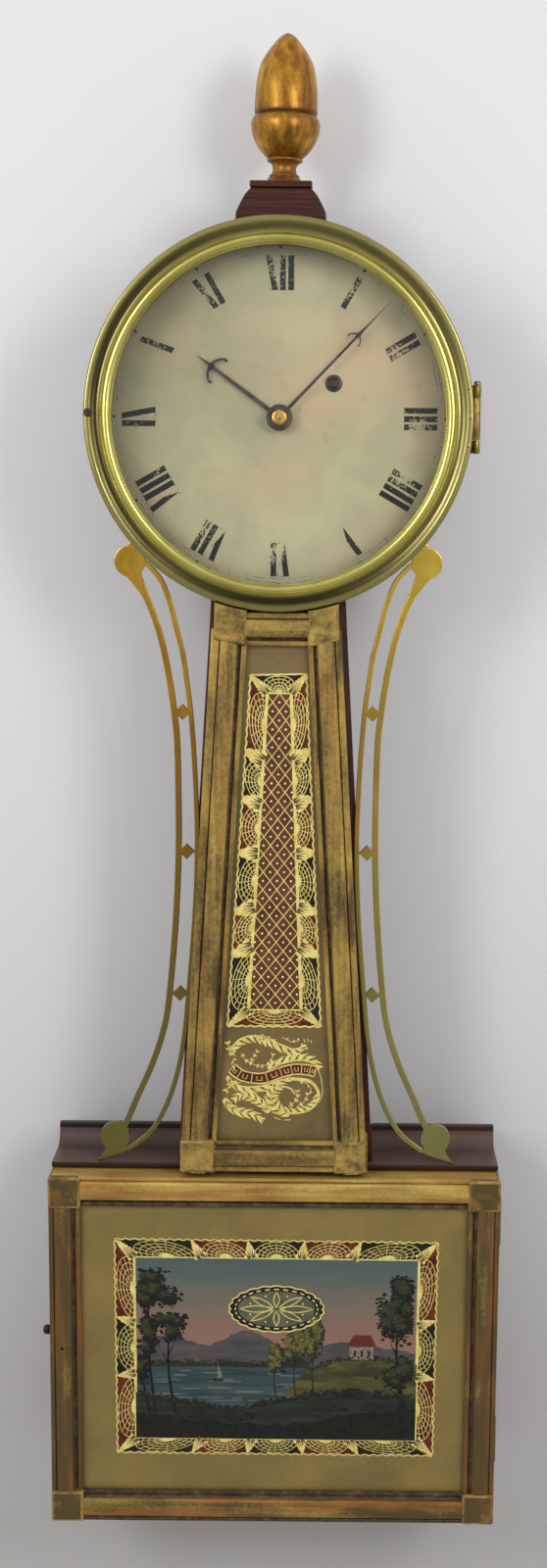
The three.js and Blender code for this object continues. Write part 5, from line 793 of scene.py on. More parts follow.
def box_door_frame():
    form = Form("box_door_moulding")
    back, front = DOOR.d[0], DOOR.d[1] - 0.6
    (left, right), (low, high) = DOOR.x, DOOR.z
    section, paints = gilt_section(back, front, BOX_STILE, BOX_LIP)
    for x, inwards in ((left, 1), (right, -1)):
        form.run(section, (x, low + 2), (x, high - 2), (inwards, 0), repainted(paints, STILE))
    # The rails' inner beads take the grooves' dark paint: painted shade under the top rail, and a dull bead on the
    # foot.
    section, paints = gilt_section(back, front, BOX_RAIL, BOX_LIP, GROOVE_AND_SHADE)
    foot = repainted(paints, FOOT_RAIL)
    # Painted shade: the foot's lowest bead takes the grooves' dark paint, as an underside in shade.
    foot[1 : BEAD_STEPS + 1] = [GROOVE_AND_SHADE] * BEAD_STEPS
    for z, inwards, colours in ((high, -1, paints), (low, 1, foot)):
        form.run(section, (left + 2, z), (right - 2, z), (0, inwards), colours)
    wide, tall = BOX_BLOCK
    for x in (left, right - wide):
        for z in (low, high - tall):
            corner = rect((x, x + wide), (z, z + tall))
            form.prism(corner, back, DOOR.d[1], edge=1.5, steps=4, paint=BLOCK, worn=WORN_EDGE)
    tools = [rod_tool((left + KEYHOLE["x"], low + KEYHOLE["z"]), KEYHOLE["radius"], (front - 7, front + 5))]
    tools.append(box_tool(POCKET["x"], (back - 2, POCKET["front"]), [low + z for z in POCKET["z"]]))
    for place in MORTISE["at"]:
        span = [low + place + z for z in MORTISE["z"]]
        tools.append(box_tool((MORTISE["x"], right + 3), (back - 2, back + MORTISE["deep"]), span))
    looks = [GILT_RAIL, GROOVE_AND_SHADE_LOOK, GILT_BOX_UP, GILT_BOX_BLOCK, GILT_WORN, GILT_FOOT]
    form.piece("box_door", "gilt_wood", looks, ["box_door_frame"], tools=tools)


def throat_frame():
    form = Form("throat_moulding")
    back, front = THROAT.d[0], THROAT.d[1] - 0.5
    foot, crown, top = THROAT.z[0], -112.0, -103.2  # the stiles' ends, and where the upper rail begins
    for side, edge in ((-1, -1.5), (1, -0.4), (0, 0)):
        section, paints = gilt_section(back, front, [(edge, 3.2, 3.4, 1.5), *THROAT_BEADS], THROAT_LIP)
        if side:
            ends = [(side * taper(z), z) for z in (foot, crown)]
            form.run(section, *ends, (-side, -SLOPE), repainted(paints, STILE))
    half = taper(foot) - 15
    form.run(section, (-half, foot), (half, foot), (0, 1), paints)
    form.run(section, (-18.5, top), (18.5, top), (0, -1), paints)
    wide, tall = THROAT_BLOCK
    for side in (-1, 1):
        outer = side * (taper(foot) + (1.2 if side < 0 else 0.5))
        corner = rect((outer - side * wide, outer), (foot, foot + tall))
        form.prism(corner, back, THROAT.d[1], edge=1.5, steps=4, paint=BLOCK, worn=WORN_EDGE)
        form.prism(top_block(side), back, THROAT.d[1], edge=1.4, steps=4, paint=BLOCK, worn=WORN_EDGE)
    clear = rod_tool((0, 0), BEZEL.x[1] + 0.6, (back - 2, THROAT.d[1] + 5), 180)
    looks = [GILT_ACROSS, GROOVE_AND_SHADE_LOOK, GILT_UP, GILT_BLOCK, GILT_WORN]
    form.piece("case", "gilt_wood", looks, ["throat_frame"], tools=[clear])


def top_block(side):
    """The block under the bezel: its upper and lower edges are arcs about the hands."""
    inner, low, high = 16.5, 122.3, 102.0
    outer = taper(-115) + (1.6 if side < 0 else 0.6)
    points = dial_arc(high, atan2(outer, high), atan2(inner, high), 8)
    points += dial_arc(low, atan2(inner, low), atan2(outer, low), 8)
    return [(side * x, -z) for x, z in points]


SHELF_FORM = {
    "upstand": 11.5, "rail": (43.0, 47.4), "cove": 8.6, "nosing": 2.9, "face": 76.0, "seat": 55.3,
    "clear": 49.0, "soft": 0.8,
}


def shelf():
    """The box's top: a nosing, a flat, a cove and a thin upstand."""
    form = Form("box_top_moulding")
    (back, front), (low, high) = SHELF.d, SHELF.z
    s = SHELF_FORM
    soft, (rail_back, rail_front), face = s["soft"], s["rail"], s["face"]
    top = high - s["upstand"]
    edge = top - s["nosing"]
    nosing = [(back, low), (face, low), (face, edge), (front - soft, edge)]
    nosing += arc((front - soft, edge + soft), soft, -QUARTER, 0, 3)
    nosing += arc((front - soft, top - soft), soft, 0, QUARTER, 3)
    hollow = arc((0, 0), s["cove"], -QUARTER, 0, 8)
    cove = [(rail_front + s["cove"] - u, top + s["cove"] + v) for u, v in hollow]
    upstand = [(rail_front, high - soft), *arc((rail_front - soft, high - soft), soft, 0, QUARTER, 3)]
    upstand += [(rail_back, high), (rail_back, top), (back, top)]
    # The flat and the cove take the painted sheen; the nosing and the upstand take the painted shade.
    paints = [0] * (len(nosing) - 1) + [1] * len(cove) + [0] * (len(upstand) + 1)
    section = [(z, d) for d, z in nosing + cove + upstand]
    form.run(section, (SHELF.x[0], 0), (SHELF.x[1], 0), (0, 1), paints)
    seat = box_tool((-s["seat"], s["seat"]), (back - 2, face + 2), (top, high + 2))
    clear = box_tool((-s["clear"], s["clear"]), (back - 2, face - 6), (low - 2, top + 1))
    form.piece("case", "mahogany", [MAHOGANY_PAINTED_SHADE, MAHOGANY_PAINTED_SHEEN], ["box_top_shelf"], tools=[seat, clear])


def board_outline(grown=0.0):
    """The backboard's outline, grown by so much. Its shoulders end behind the box's top."""
    half, low, head = BOARD.x[1] + grown, BOARD.z[0] - grown, BOARD.z[1] + grown
    shoulder, reach = SHELF.z[0] + 5.5 + grown, 3.6 + grown
    meet = pi - asin((taper(-95.2) + reach) / head)
    side = [(half, low), (half, shoulder), (taper(shoulder) + reach, shoulder)]
    return side + dial_arc(head, meet, -meet, 96) + mirrored(side[::-1])


HANG = {"inset": 22, "radius": 4}


def backboard():
    """The board on the wall, with the hole it hangs on."""
    form = Form("backboard_outline")
    form.prism(board_outline(), *BOARD.d, edge=0.6)
    hole = rod_tool((0, BOARD.z[1] - HANG["inset"]), HANG["radius"], (BOARD.d[0] - 2, BOARD.d[1] + 2))
    form.piece("case", "mahogany", [MAHOGANY_UP], ["backboard"], tools=[hole])


# Side arms

OUTER_RAIL = [
    (80.4, -80.2), (75.6, -88.9), (70.6, -98.5), (64.7, -115), (61, -130.7), (58.4, -145.8), (56.6, -159.4),
    (55, -175.4), (54.4, -205), (54.4, -236.6), (56, -275), (59.5, -316.5), (62.7, -337.2),
    (69.3, -358.1), (77.7, -377.3), (84.2, -392.7), (89, -401),
]
INNER_RAIL = [
    (72.5, -77.6), (68.5, -81.2), (63.1, -88.1), (58.6, -99.9), (55.3, -113.4), (51.9, -126.8), (49.7, -141.9),
    (47.8, -157), (46.3, -175.3), (44.7, -205), (44.1, -236.6), (45.6, -275), (49, -317), (51.8, -344.7),
    (56.4, -367.6), (63, -385.8), (71.3, -399.3), (83.4, -408.6),
]
DIAMONDS = [(52, -159), (49.9, -236.6), (53.8, -317.5)]
# The right half of a diamond with its lug, from its foot to its head
LOZENGE = [(0, -4.4), (3.5, -0.8), (5.0, -0.8), (5.0, 0.8), (3.5, 0.8), (0, 4.4)]
HEAD_DISC, FOOT_DISC = ((80.3, -77.2), 8.4), ((90.6, -401), 8.3)
# The plates that hold an arm's head: inner and outer radius, from and to over the arm's back, and angle
FIXINGS = [(102.5, 104.0, -9, 0, 130.4), (102.8, 106.0, -0.3, 2.75, 132.6)]


def side_arm(side, name):
    form = Form(name + "_scroll")
    front = ARM.d[1]
    back = front - 3

    def plate(points, inset, edge, steps=2):
        form.prism(mirrored(points, side), back + inset, front - inset, edge=edge, steps=steps)

    spine = flow(OUTER_RAIL, 4)
    neck = [3.4 + 7.6 * max(0.0, 1 - i / 9) ** 2 for i in range(len(spine))]
    form.strip(mirrored(spine, side), neck, back + 0.1, front - 0.1, edge=0.4)
    form.strip(mirrored(flow(INNER_RAIL, 4), side), 2.7, back + 0.2, front - 0.2, edge=0.4)
    plate(ring(*HEAD_DISC, 48), 0, 0.35)
    foot = arc(*FOOT_DISC, radians(220), radians(-48), 40)
    foot += flow([foot[-1], (97.4, -410.6), (101.3, -415.5)], 5)[1:]
    foot += flow([(101.3, -415.5), (95.5, -413.6), (88, -411.2), (82, -408.4)], 5)[1:]
    plate(foot, 0, 0.35)
    for x, z in DIAMONDS:
        lozenge = LOZENGE + mirrored(LOZENGE[-2:0:-1])
        plate([(x + u, z + v) for u, v in lozenge], 0.15, 0.2, 1)
    spread = radians(2.7)
    for inner, outer, low, high, angle in FIXINGS:
        start, end = radians(angle) - spread, radians(angle) + spread
        points = dial_arc(inner, start, end, 6) + dial_arc(outer, end, start, 6)
        form.prism(mirrored(points, side), back + low, back + high, edge=0.3)
    form.piece("case", "brass", [ARM_BRASS], [name])


# Bezel and glass

SCREWS = {"z": (-14.7, 0.0, 15.0), "radius": 100.9, "dome": [(1.1, 0), (1.0, 0.35), (0.7, 0.6), (0, 0.72)]}


def bezel():
    form = Form("bezel_ring")
    edge, (back, front) = BEZEL.x[1], BEZEL.d
    groin, crest = edge - 5.3, 100.1
    roll = arc((91.4, front - 2.9), (2.4, 2.0), 0.7, pi, 14)
    hollow = [(crest - 6.6 * s, front - 1.6 * sin(0.84 * pi * s) ** 1.3) for s in stretch(0, 1, 20)[1:-1]]
    profile = [(groin, back), (edge, back), (edge, front - 1.6)]
    profile += arc((edge - 1.2, front - 1.5), (1.2, 1.4), 0, QUARTER, 5)
    profile += [(crest, front), *hollow, *roll, (88.7, front - 3.3), (88.3, front - 3.6), (88.2, 90.6), (groin, 90.6)]
    form.lathe(profile + profile[:1], facing, 200)
    for z in SCREWS["z"]:
        x = sqrt(SCREWS["radius"] ** 2 - z**2)
        form.lathe(SCREWS["dome"], lambda u, v, h, x=x, z=z: at(x + u, front - 0.7 + h, z + v), 16, 1)
    hole = rod_tool((-100.1, 1.0), 1.4, (back - 3, front + 3))
    form.piece("bezel_door", "brass", [BEZEL_BRASS, DARK_STEEL], ["bezel"], tools=[hole])


def bezel_glass():
    form = Form("bezel_glass_dome")
    pane = Span("bezel_glass")
    back, bed = pane.d[0], pane.d[0] + 2.1

    def dome(base):
        rise = pane.d[1] - bed
        return [(87.6 * s, base + rise * (1 - s**1.6)) for s in stretch(0, 1, 16)] + [(pane.x[1], base)]

    form.lathe(dome(back) + dome(bed)[::-1], facing, 128)
    form.piece("bezel_door", "clear_glass", [CLEAR], ["bezel_glass"])


# Dial

# The strokes of each letter, as (thick, top, foot), and its width, all in pitches of the letters
GLYPHS = {
    "I": ([(True, 0, 0)], 1.0),
    "V": ([(True, -1.9, 0.6), (False, 3.2, -0.95)], 1.35),
    "X": ([(True, -1.8, 1.6), (False, 3.4, -3.4)], 1.6),
}
# Where the numerals are worn: x, z, reach and how much
WORN = [
    (-40, 65, 12, 0.12), (38, 66, 11, 0.14), (65, 33, 10, 0.1), (75, -5, 7, 0.14), (68, -31, 13, 0.2),
    (-5, -72, 11, 0.2), (-44, -60, 14, 0.14), (-66, -26, 11, 0.1), (-4, 80, 9, 0.1),
]
HOURS = ["XII", "I", "II", "III", "IIII", "V", "VI", "VII", "VIII", "IX", "X", "XI"]


def numerals():
    form = Form("dial_numerals")
    hair = Form("dial_numeral_hairs")
    d = DIAL.d[1] + LAYER
    inner, outer = NUMERAL["inner"], NUMERAL["outer"]
    for hour, word in enumerate(HOURS):
        spot = turned(TURN * hour / 12)
        widths = [GLYPHS[letter][1] * NUMERAL["pitch"] for letter in word]
        reach = sum(widths) / 2
        place = -reach
        for letter, width in zip(word, widths):
            middle = place + width / 2
            place += width
            for thick, top, foot in GLYPHS[letter][0]:
                target, half = (form, NUMERAL["stroke"] / 2) if thick else (hair, NUMERAL["hair"] / 2)
                a, b = middle + top, middle + foot
                heel = (b + half - 1.2, inner + 8.4) if letter == "V" and thick else (b + half, inner)
                ends = [(a - half, outer), (a + half, outer), heel, (b - half, inner)]
                target.leafing([spot(*p) for p in ends], d)
        for r in (inner, outer):
            hair.stroke([spot(-reach, r), spot(0, r), spot(reach, r)], NUMERAL["hair"], d - LAYER / 3)
    form.piece("case", "dial_paint", [worn_black("numeral_black", 0.8, WORN)], solid=False)
    hair.piece("case", "dial_paint", [worn_black("numeral_hair", 0.3)], solid=False)


def minute_track():
    form = Form("dial_minute_track")
    dots = Form("dial_minute_dots")
    d = DIAL.d[1] + LAYER
    inner, outer = TRACK["inner"], TRACK["outer"]
    for radius in (inner, outer):
        form.stroke(dial_arc(radius, 0, TURN, 180)[:-1], TRACK["line"], d, closed=True)
    for minute in range(60):
        angle = TURN * minute / 60
        form.stroke([polar(inner, angle), polar(outer, angle)], TRACK["line"], d - LAYER / 3)
        if minute % 5 == 0:
            dots.dot(polar(TRACK["dots"], angle), 0.75, d)
    form.piece("case", "dial_paint", [worn_black("track_black", 0.28)], solid=False)
    dots.piece("case", "dial_paint", [worn_black("dot_black", 0.8)], solid=False)


# Each hand: its angle, half widths of its shaft at the collar, part of the way and at the barbs, radius of
# collar and bore, how far out the barbs are, their reach, drop, thickness and curl, and the length
HANDS = {
    "hour": (306.2, (1.25, 1.1, 0.85), 6.0, 3.9, 45.0, (7.4, 3.4, 1.9, 0.9), 54.6),
    "minute": (43.9, (1.1, 0.8, 0.6), 4.6, 1.5, 59.5, (4.0, 2.6, 1.1, 0.5), 84.7),
}


def hand(kind, body):
    """A hand with a collar, a slender shaft, a pair of curled barbs and a long point."""
    angle, slim, collar, bore, junction, (reach, drop, wide, curl), length = HANDS[kind]
    form = Form(kind + "_pointer")
    low, high = Span(kind + "_hand").d
    spot = turned(radians(angle))

    def plate(half, edge):
        form.prism([spot(*p) for p in half + mirrored(half[::-1])], low, high, edge=edge)

    rim = [(bore, low), (collar - 0.25, low), (collar, low + 0.25)]
    rim += [(collar, high - 0.25), (collar - 0.25, high), (bore, high)]
    form.lathe(rim + rim[:1], facing, 56)
    plate([(slim[0], collar - 0.6), (slim[1], junction * 0.35), (slim[2], junction)], 0.3)
    rest = length - junction
    point = [(0.12, length), (wide * 0.28, junction + rest * 0.5), (wide * 0.55, junction + rest * 0.2)]
    plate(flow(point + [(wide, junction + 0.8), (wide * 0.7, junction - 1.2)], 4), 0.22)
    barb = [(0, 0.6), (0.35, 0.5), (0.72, -drop * 0.3), (1, -drop), (0.94, -drop - curl)]
    for side in (-1, 1):
        line = flow([(side * reach * w, junction + r) for w, r in barb], 5)
        form.strip([spot(*p) for p in line], stretch(wide, wide * 0.38, len(line) - 1), low, high, edge=0.25)
        form.prism(ring(spot(*line[-1]), wide * 0.42, 14), low, high, edge=0.15)
    form.piece(body, "blued_steel", [DARK_STEEL], [kind + "_hand"])


# Gilt ornament on the tablets

LEAF, SHADE, VEIN = 0, 1, 2


def lace(art, inner, outer, d, width, rings=4, core=0.27):
    """Net work in the cell between an inner and an outer edge, each given by its two ends."""

    def spot(size, angle):
        share = (0.9 * size * cos(angle) + 1) / 2
        return between(between(*inner, share), between(*outer, share), 0.92 * size * sin(angle))

    for size in stretch(core, 1, rings)[1:]:
        art.stroke([spot(size, angle) for angle in stretch(0, pi, 16)], width, d, LEAF)
    for angle in stretch(0, pi, 10)[1:-1]:
        art.stroke([spot(size, angle) for size in (core, 0.7, 1.0)], width * 0.8, d + LAYER / 4, LEAF)
    art.leafing([spot(core, angle) for angle in stretch(0, pi, 10)], d + LAYER / 2, LEAF)


def palmette(art, root, tip, d, half, lobes, swell):
    """A scalloped leaf, straighter sided the nearer swell is to 1, with a dark fan at its root."""
    length, spot = aimed(root, tip)
    side = []
    for share in stretch(0, 1, lobes * 4):
        ripple = 0.78 + 0.22 * abs(sin(lobes * pi * share)) ** 0.7
        side.append((half * (1 - share) ** swell * ripple, length * share))
    art.leafing([spot(*p) for p in side + mirrored(side[-2::-1])], d, LEAF)
    for k in range(-2, 3):
        heel, reach, base = half * 0.2 * k, length * (0.6 - 0.1 * abs(k)), half * 0.15
        fan = [spot(heel - base, 0), spot(heel + base, 0), spot(half * 0.3 * k, reach)]
        art.leafing(fan, d + (0.5 + 0.02 * k) * LAYER, SHADE)
    art.leafing([spot(-half * 0.06, 0), spot(half * 0.06, 0), spot(0, length * 0.45)], d + LAYER, VEIN)


def wavy(art, start, end, width, d, ripple):
    """A gently waving border line."""
    length, spot = aimed(start, end)
    shares = stretch(0, 1, max(8, int(length / 1.1)))
    art.stroke([spot(ripple * sin(TURN * length * s / 5.0), length * s) for s in shares], width, d, LEAF)


def border(forms, inner, outer, sides, d, lift, net):
    """Cells of net work between two rings of four corners, with leaves between the cells and at the corners.

    Each side has the shares of its length where cells meet, the field of its first cell, how much its outer line
    waves and the width of its inner line.
    """
    field, art = forms
    top = d + lift * LAYER
    for a, (marks, first, ripple, line) in enumerate(sides):
        b = (a + 1) % 4
        roots, tips = [[between(edge[a], edge[b], s) for s in marks] for edge in (inner, outer)]
        for cell in range(len(marks) - 1):
            near, far = roots[cell : cell + 2], tips[cell : cell + 2]
            field.leafing(near + far[::-1], d, (cell + first) % 2)
            lace(art, near, far, top, net["width"])
        for root, tip in zip(roots[1:-1], tips[1:-1]):
            palmette(art, root, between(root, tip, net["reach"]), top + 0.7 * LAYER, *net["leaf"])
        palmette(art, inner[a], outer[a], top + 0.7 * LAYER, *net["corner"])
        wavy(art, outer[a], outer[b], net["line"], top + 0.2 * LAYER, ripple)
        art.stroke([inner[a], inner[b]], line, top + 0.4 * LAYER, LEAF)


def acanthus(art, spine, reach, count, d, sides=(1,)):
    """A leafy stem: pointed lobes in a row along a spine, leaning towards its tip."""
    line = flow(spine, 10)
    last = len(line) - 1
    normals = offsets(line)

    def spot(share, out):
        i = min(last, max(0, round(share * last)))
        (x, z), (nx, nz) = line[i], normals[i]
        return (x + nx * out, z + nz * out)

    def swell(share):
        return reach * (0.3 + 0.7 * sin(pi * min(1.0, 0.15 + 0.75 * share)))

    art.stroke(line, [0.5 * swell(s) for s in stretch(0, 1, last)], d, LEAF)
    lobe = [(-0.05, 0), (0.02, 0.5), (0.35, 0.95), (1.3, 1.35), (0.82, 0.55), (0.78, 0)]
    cleft = [(0.82, 0.6), (0.5, 0.0), (0.95, 0.2)]
    step = 1 / count
    for side in sides:
        for k in range(count):
            start, size = k * step, side * swell((k + 0.5) * step)
            coat = d + (0.1 + 0.02 * k + 0.01 * side) * LAYER
            for shape, lift, colour in ((lobe, 0, LEAF), (cleft, LAYER / 4, SHADE)):
                art.leafing([spot(start + step * a, size * b) for a, b in shape], coat + lift, colour)


def laurel(art, spine, reach, count, d, sides=(1,)):
    """A thin stem with small leaves."""
    line = flow(spine, 8)
    normals = offsets(line)
    art.stroke(line, 0.4, d, LEAF)
    leaf = flow([(0, 0), (0.75, 0.3), (1, 0.55), (0.6, 0.82), (0, 1)], 4)
    leaf += mirrored(leaf[-2:0:-1])
    for side in sides:
        for k in range(count):
            i = round((len(line) - 1) * (k + 0.5) / count)
            (x, z), (nx, nz) = line[i], normals[i]
            tip = (x + reach * (0.8 * nz + 0.6 * side * nx), z + reach * (0.6 * side * nz - 0.8 * nx))
            length, spot = aimed((x, z), tip)
            coat = d + (0.1 + 0.02 * k + 0.01 * side) * LAYER
            art.leafing([spot(w * reach * 0.24, r * length) for w, r in leaf], coat, LEAF)


def tendril(art, spine, start, end, d):
    line = flow(spine, 8)
    art.stroke(line, stretch(start, end, len(line) - 1), d, LEAF)


GOLD = leaf_paint("gold_leaf", (246, 230, 142), (222, 196, 98))
GOLD_SHADE = paint("gold_leaf_shade", (112, 90, 46), (78, 62, 32), size=2)
GOLD_VEIN = paint("gold_leaf_vein", (250, 240, 190), (234, 216, 150), size=2)
GOLDS = [GOLD, GOLD_SHADE, GOLD_VEIN]
LACE_RED = paint("lace_red", (112, 44, 26), (66, 24, 14), size=4, coat=0.1)
LACE_BLACK = paint("lace_black", (36, 32, 18), (17, 15, 8), size=4, coat=0.04)
LATTICE = paint("lattice_red", (108, 62, 36), (82, 44, 24), size=9)
OLIVE = ground_paint("throat_ground", (126, 106, 56), (102, 86, 46))
OCHRE = ground_paint("box_ground", (140, 120, 60), (118, 101, 50))


def throat_pane():
    """The glass of the throat with the ground behind it."""
    form = Form("throat_glass")
    front = THROAT_PANE.d[1] - 6 * LAYER
    low, high = THROAT_PANE.z
    points = [(s * (taper(z) - 12.6), z) for s, z in ((-1, low), (1, low), (1, high), (-1, high))]
    form.prism(points, THROAT_PANE.d[0], front)
    form.piece("case", "painted_glass", [OLIVE], ["throat_tablet"])
    return front


# Corners of the throat's panel and of the lattice in it, clockwise from the upper left
PANEL = [(-14.4, -137.1), (15.7, -136.3), (25.1, -332.7), (-26.6, -332.7)]
FIELD = [(-5.3, -146.9), (7.6, -146.9), (14.3, -323.3), (-15.0, -323.3)]
PANEL_LEAVES = [0.0, 0.21, 0.345, 0.5, 0.67, 0.795, 1.0]
PANEL_SIDES = [
    ([0, 1], 0, 0.1, 0.8), (PANEL_LEAVES, 1, 0.35, 1.7), ([0, 1], 1, 0.35, 0.8),
    ([1 - share for share in PANEL_LEAVES[::-1]], 0, 0.35, 1.7),
]
PANEL_NET = {"width": 0.44, "reach": 1.04, "leaf": (5.6, 3, 0.5), "corner": (3.6, 7, 0.6), "line": 0.95}
MESH = {"top": 7.2, "foot": 8.0, "height": 9.85, "shift": 0.02}  # the lattice's pitches


def throat_ornament(front):
    field = Form("throat_panel_fields")
    art = Form("throat_gilt_ornament")
    d = front + LAYER
    field.leafing(FIELD, d + LAYER, 2)
    border((field, art), FIELD, PANEL, PANEL_SIDES, d, 2, PANEL_NET)
    lattice(art, d + 2 * LAYER)
    scroll(art, field, d + 2 * LAYER)
    field.piece("case", "painted_glass", [LACE_BLACK, LACE_RED, LATTICE], solid=False)
    art.piece("case", "painted_glass", GOLDS, solid=False)


def lattice(art, d):
    """Crossing lines over the field, with a dot in each mesh."""
    top, foot = FIELD[0][1], FIELD[3][1]
    height, shift = MESH["height"], MESH["shift"]
    rows = (top - foot) / height

    def row(z):
        """The left and right edge, and a function of the places across."""
        share = (top - z) / (top - foot)
        left, right = between(FIELD[0], FIELD[3], share)[0], between(FIELD[1], FIELD[2], share)[0]
        pitch = MESH["top"] + (MESH["foot"] - MESH["top"]) * (top - z) / (top - foot)
        return left, right, lambda place: (left + right) / 2 + pitch * place

    for way in (-1, 1):
        for k in range(-int(rows) - 4, int(rows) + 5):
            line = []
            for z in stretch(top, foot, 160):
                left, right, across = row(z)
                x = across(k + shift - way * (top - z) / height)
                if left - 0.2 <= x <= right + 0.2:
                    line.append((x, z))
            if len(line) > 2:
                art.stroke(line, 0.5, d + (LAYER / 5 if way > 0 else 0), LEAF)
    for level in range(int(rows * 2) + 1):
        z = top - height * (level + 1) / 2
        left, right, across = row(z)
        for k in range(-4, 5):
            x = across(k + shift + (0.5 if level % 2 else 0.0))
            if left + 1.0 < x < right - 1.0 and z > foot + 1:
                art.dot((x, z), 0.62, d + LAYER, VEIN, 10)


SCROLL_BAND = [
    (-24, -357), (-18, -361.3), (-7.4, -362.7), (3.2, -359.2), (11, -357.3), (18, -357.6), (22.4, -358.6),
]
HOOK = [(2, 0.3), (2, 0.7), (4, 0.7), (4, 0.3)]  # the fret in the band: steps along it, and share across it


def scroll(art, field, d):
    """A pair of opposed leafy scrolls about a fretted band."""
    band = flow(SCROLL_BAND, 8)
    normals = offsets(band)
    upper, lower = [
        [(x + nx * half, z + nz * half) for (x, z), (nx, nz) in zip(band, normals)] for half in (2.9, -2.9)
    ]
    for i in range(len(band) - 1):
        field.leafing([upper[i], upper[i + 1], lower[i + 1], lower[i]], d - LAYER, 1)
    art.stroke(upper, 0.75, d, LEAF)
    art.stroke(lower, 0.75, d, LEAF)
    for i in range(0, len(band), 6):
        art.stroke([upper[i], lower[i]], 0.45, d, LEAF)
        if i + 4 < len(band):
            art.stroke([between(upper[i + k], lower[i + k], share) for k, share in HOOK], 0.4, d, LEAF)
    leaf = d + LAYER / 3
    tendril(art, SCROLL_RING, 2.0, 0.9, leaf)
    tendril(art, [(23, -355), (25.5, -361.9), (26.4, -370.6), (24.6, -376.5)], 0.6, 0.4, leaf)
    for dash in SCROLL_DASHES:
        art.stroke(dash, 0.55, leaf, LEAF)
    for i, (draw, sides, reach, count, spine) in enumerate(SCROLL_LEAVES):
        draw(art, spine, reach, count, leaf + (0.3 + 0.06 * i) * LAYER, sides)


BOTH = (-1, 1)
SCROLL_RING = [
    (7, -362.8), (17, -363.5), (21.8, -366.2), (24.3, -371.7), (22.3, -377.7), (16.5, -381.7), (8.5, -382.5),
    (2.1, -380.4), (-1.6, -375.5), (-1.1, -370.6), (3.2, -367.5), (8.5, -368.4), (11.2, -371.7),
]
# The leafy stems: how each is drawn, on which sides, the reach of its leaves, how many, and its spine
SCROLL_LEAVES = [
    (acanthus, (-1,), 3, 7,
     [(-25.6, -349.5), (-23.6, -344.8), (-19.6, -340.6), (-13.8, -338.6), (-8.5, -339.3), (-3.7, -342.8)]),
    (acanthus, (-1,), 3.2, 7,
     [(-9, -338.8), (-3.7, -340.4), (3.2, -343.5), (9.6, -345.9), (14, -344.9), (15.2, -342.4)]),
    (laurel, (1,), 1.4, 4, [(-13, -338.2), (-6, -338.2), (0, -341)]),
    (laurel, BOTH, 2.6, 3, [(-22, -350), (-25.2, -346.5), (-26.6, -342)]),
    (laurel, (1,), 2, 3, [(3.8, -338.9), (9.4, -341.6), (13.4, -340.4)]),
    (laurel, BOTH, 1.9, 8,
     [(-18.6, -348), (-16.5, -352.1), (-11.7, -354.8), (-6.9, -355.6), (-2.6, -353.2), (-1.2, -348.6)]),
    (laurel, BOTH, 1.9, 3, [(-14, -353.6), (-11.8, -350.2), (-9.8, -346.6)]),
    (acanthus, (1,), 3.3, 8,
     [(-4, -357.6), (3.6, -353.8), (9.6, -352.2), (16, -351.8), (21.4, -353.6), (24.8, -357.4)]),
    (laurel, (-1,), 2, 3, [(-22, -358.6), (-24.2, -354.6), (-22.8, -351.4)]),
    (acanthus, (-1,), 2.9, 8,
     [(-26.4, -361.4), (-22.3, -366.2), (-16, -368), (-7.4, -367.3), (1.1, -364.4), (8.5, -362.2)]),
    (laurel, BOTH, 2.6, 3, [(-19, -365), (-24.6, -366.6), (-27.6, -370.4)]),
    (acanthus, (-1,), 2.8, 8, [(24.3, -371.7), (22.3, -377.7), (16.5, -381.7), (8.5, -382.5), (2.1, -380.4)]),
    (acanthus, BOTH, 3.3, 7, [(8.5, -383), (2.1, -380.8), (-1.8, -375.5), (-1.1, -370.2), (3.2, -366.9)]),
    (laurel, (-1,), 2, 3, [(12, -363.4), (18.4, -366), (20.6, -371)]),
    (laurel, BOTH, 2.2, 4, [(7.4, -379), (12.2, -374.6), (12.6, -369.8)]),
    (laurel, BOTH, 1.9, 3, [(12.4, -379), (17, -375.2), (18.2, -370.8)]),
    (acanthus, BOTH, 2.5, 7, [(-3.2, -382.4), (-7.6, -377.2), (-13.4, -373.6), (-19.4, -372.6), (-23.4, -376)]),
    (acanthus, BOTH, 2.4, 6,
     [(-28.4, -374.6), (-24.6, -380), (-18.1, -382.7), (-11.7, -383.7), (-6.2, -387.6)]),
]
SCROLL_DASHES = [
    [(15.8, -339.8), (16.6, -341.8)], [(17.8, -339.6), (18.5, -341.5)], [(19.8, -340.4), (20.2, -342)],
    [(17.2, -344.2), (18, -346)], [(-0.5, -385.2), (3.2, -386.6)], [(5.3, -386.9), (8.8, -386.5)],
]


# The lower tablet

FRAME_OUT = [(-90.2, -457.6), (92.6, -458.3), (91.6, -587.2), (-89.4, -586.6)]
PICTURE = [(-79.2, -468.2), (82.2, -468.8), (81.4, -578.0), (-78.6, -577.6)]
FRAME_NET = {"width": 0.36, "reach": 1.0, "leaf": (4.2, 4, 0.8), "corner": (3.8, 7, 0.7), "line": 0.75}
OVAL = {"middle": (1.5, -498.7), "wide": 26.0, "tall": 13.4}


def box_pane():
    form = Form("box_glass")
    front = BOX_PANE.d[1] - 8 * LAYER
    form.prism(rect(BOX_PANE.x, BOX_PANE.z), BOX_PANE.d[0], front)
    form.piece("box_door", "painted_glass", [OCHRE], ["box_tablet"])
    return front


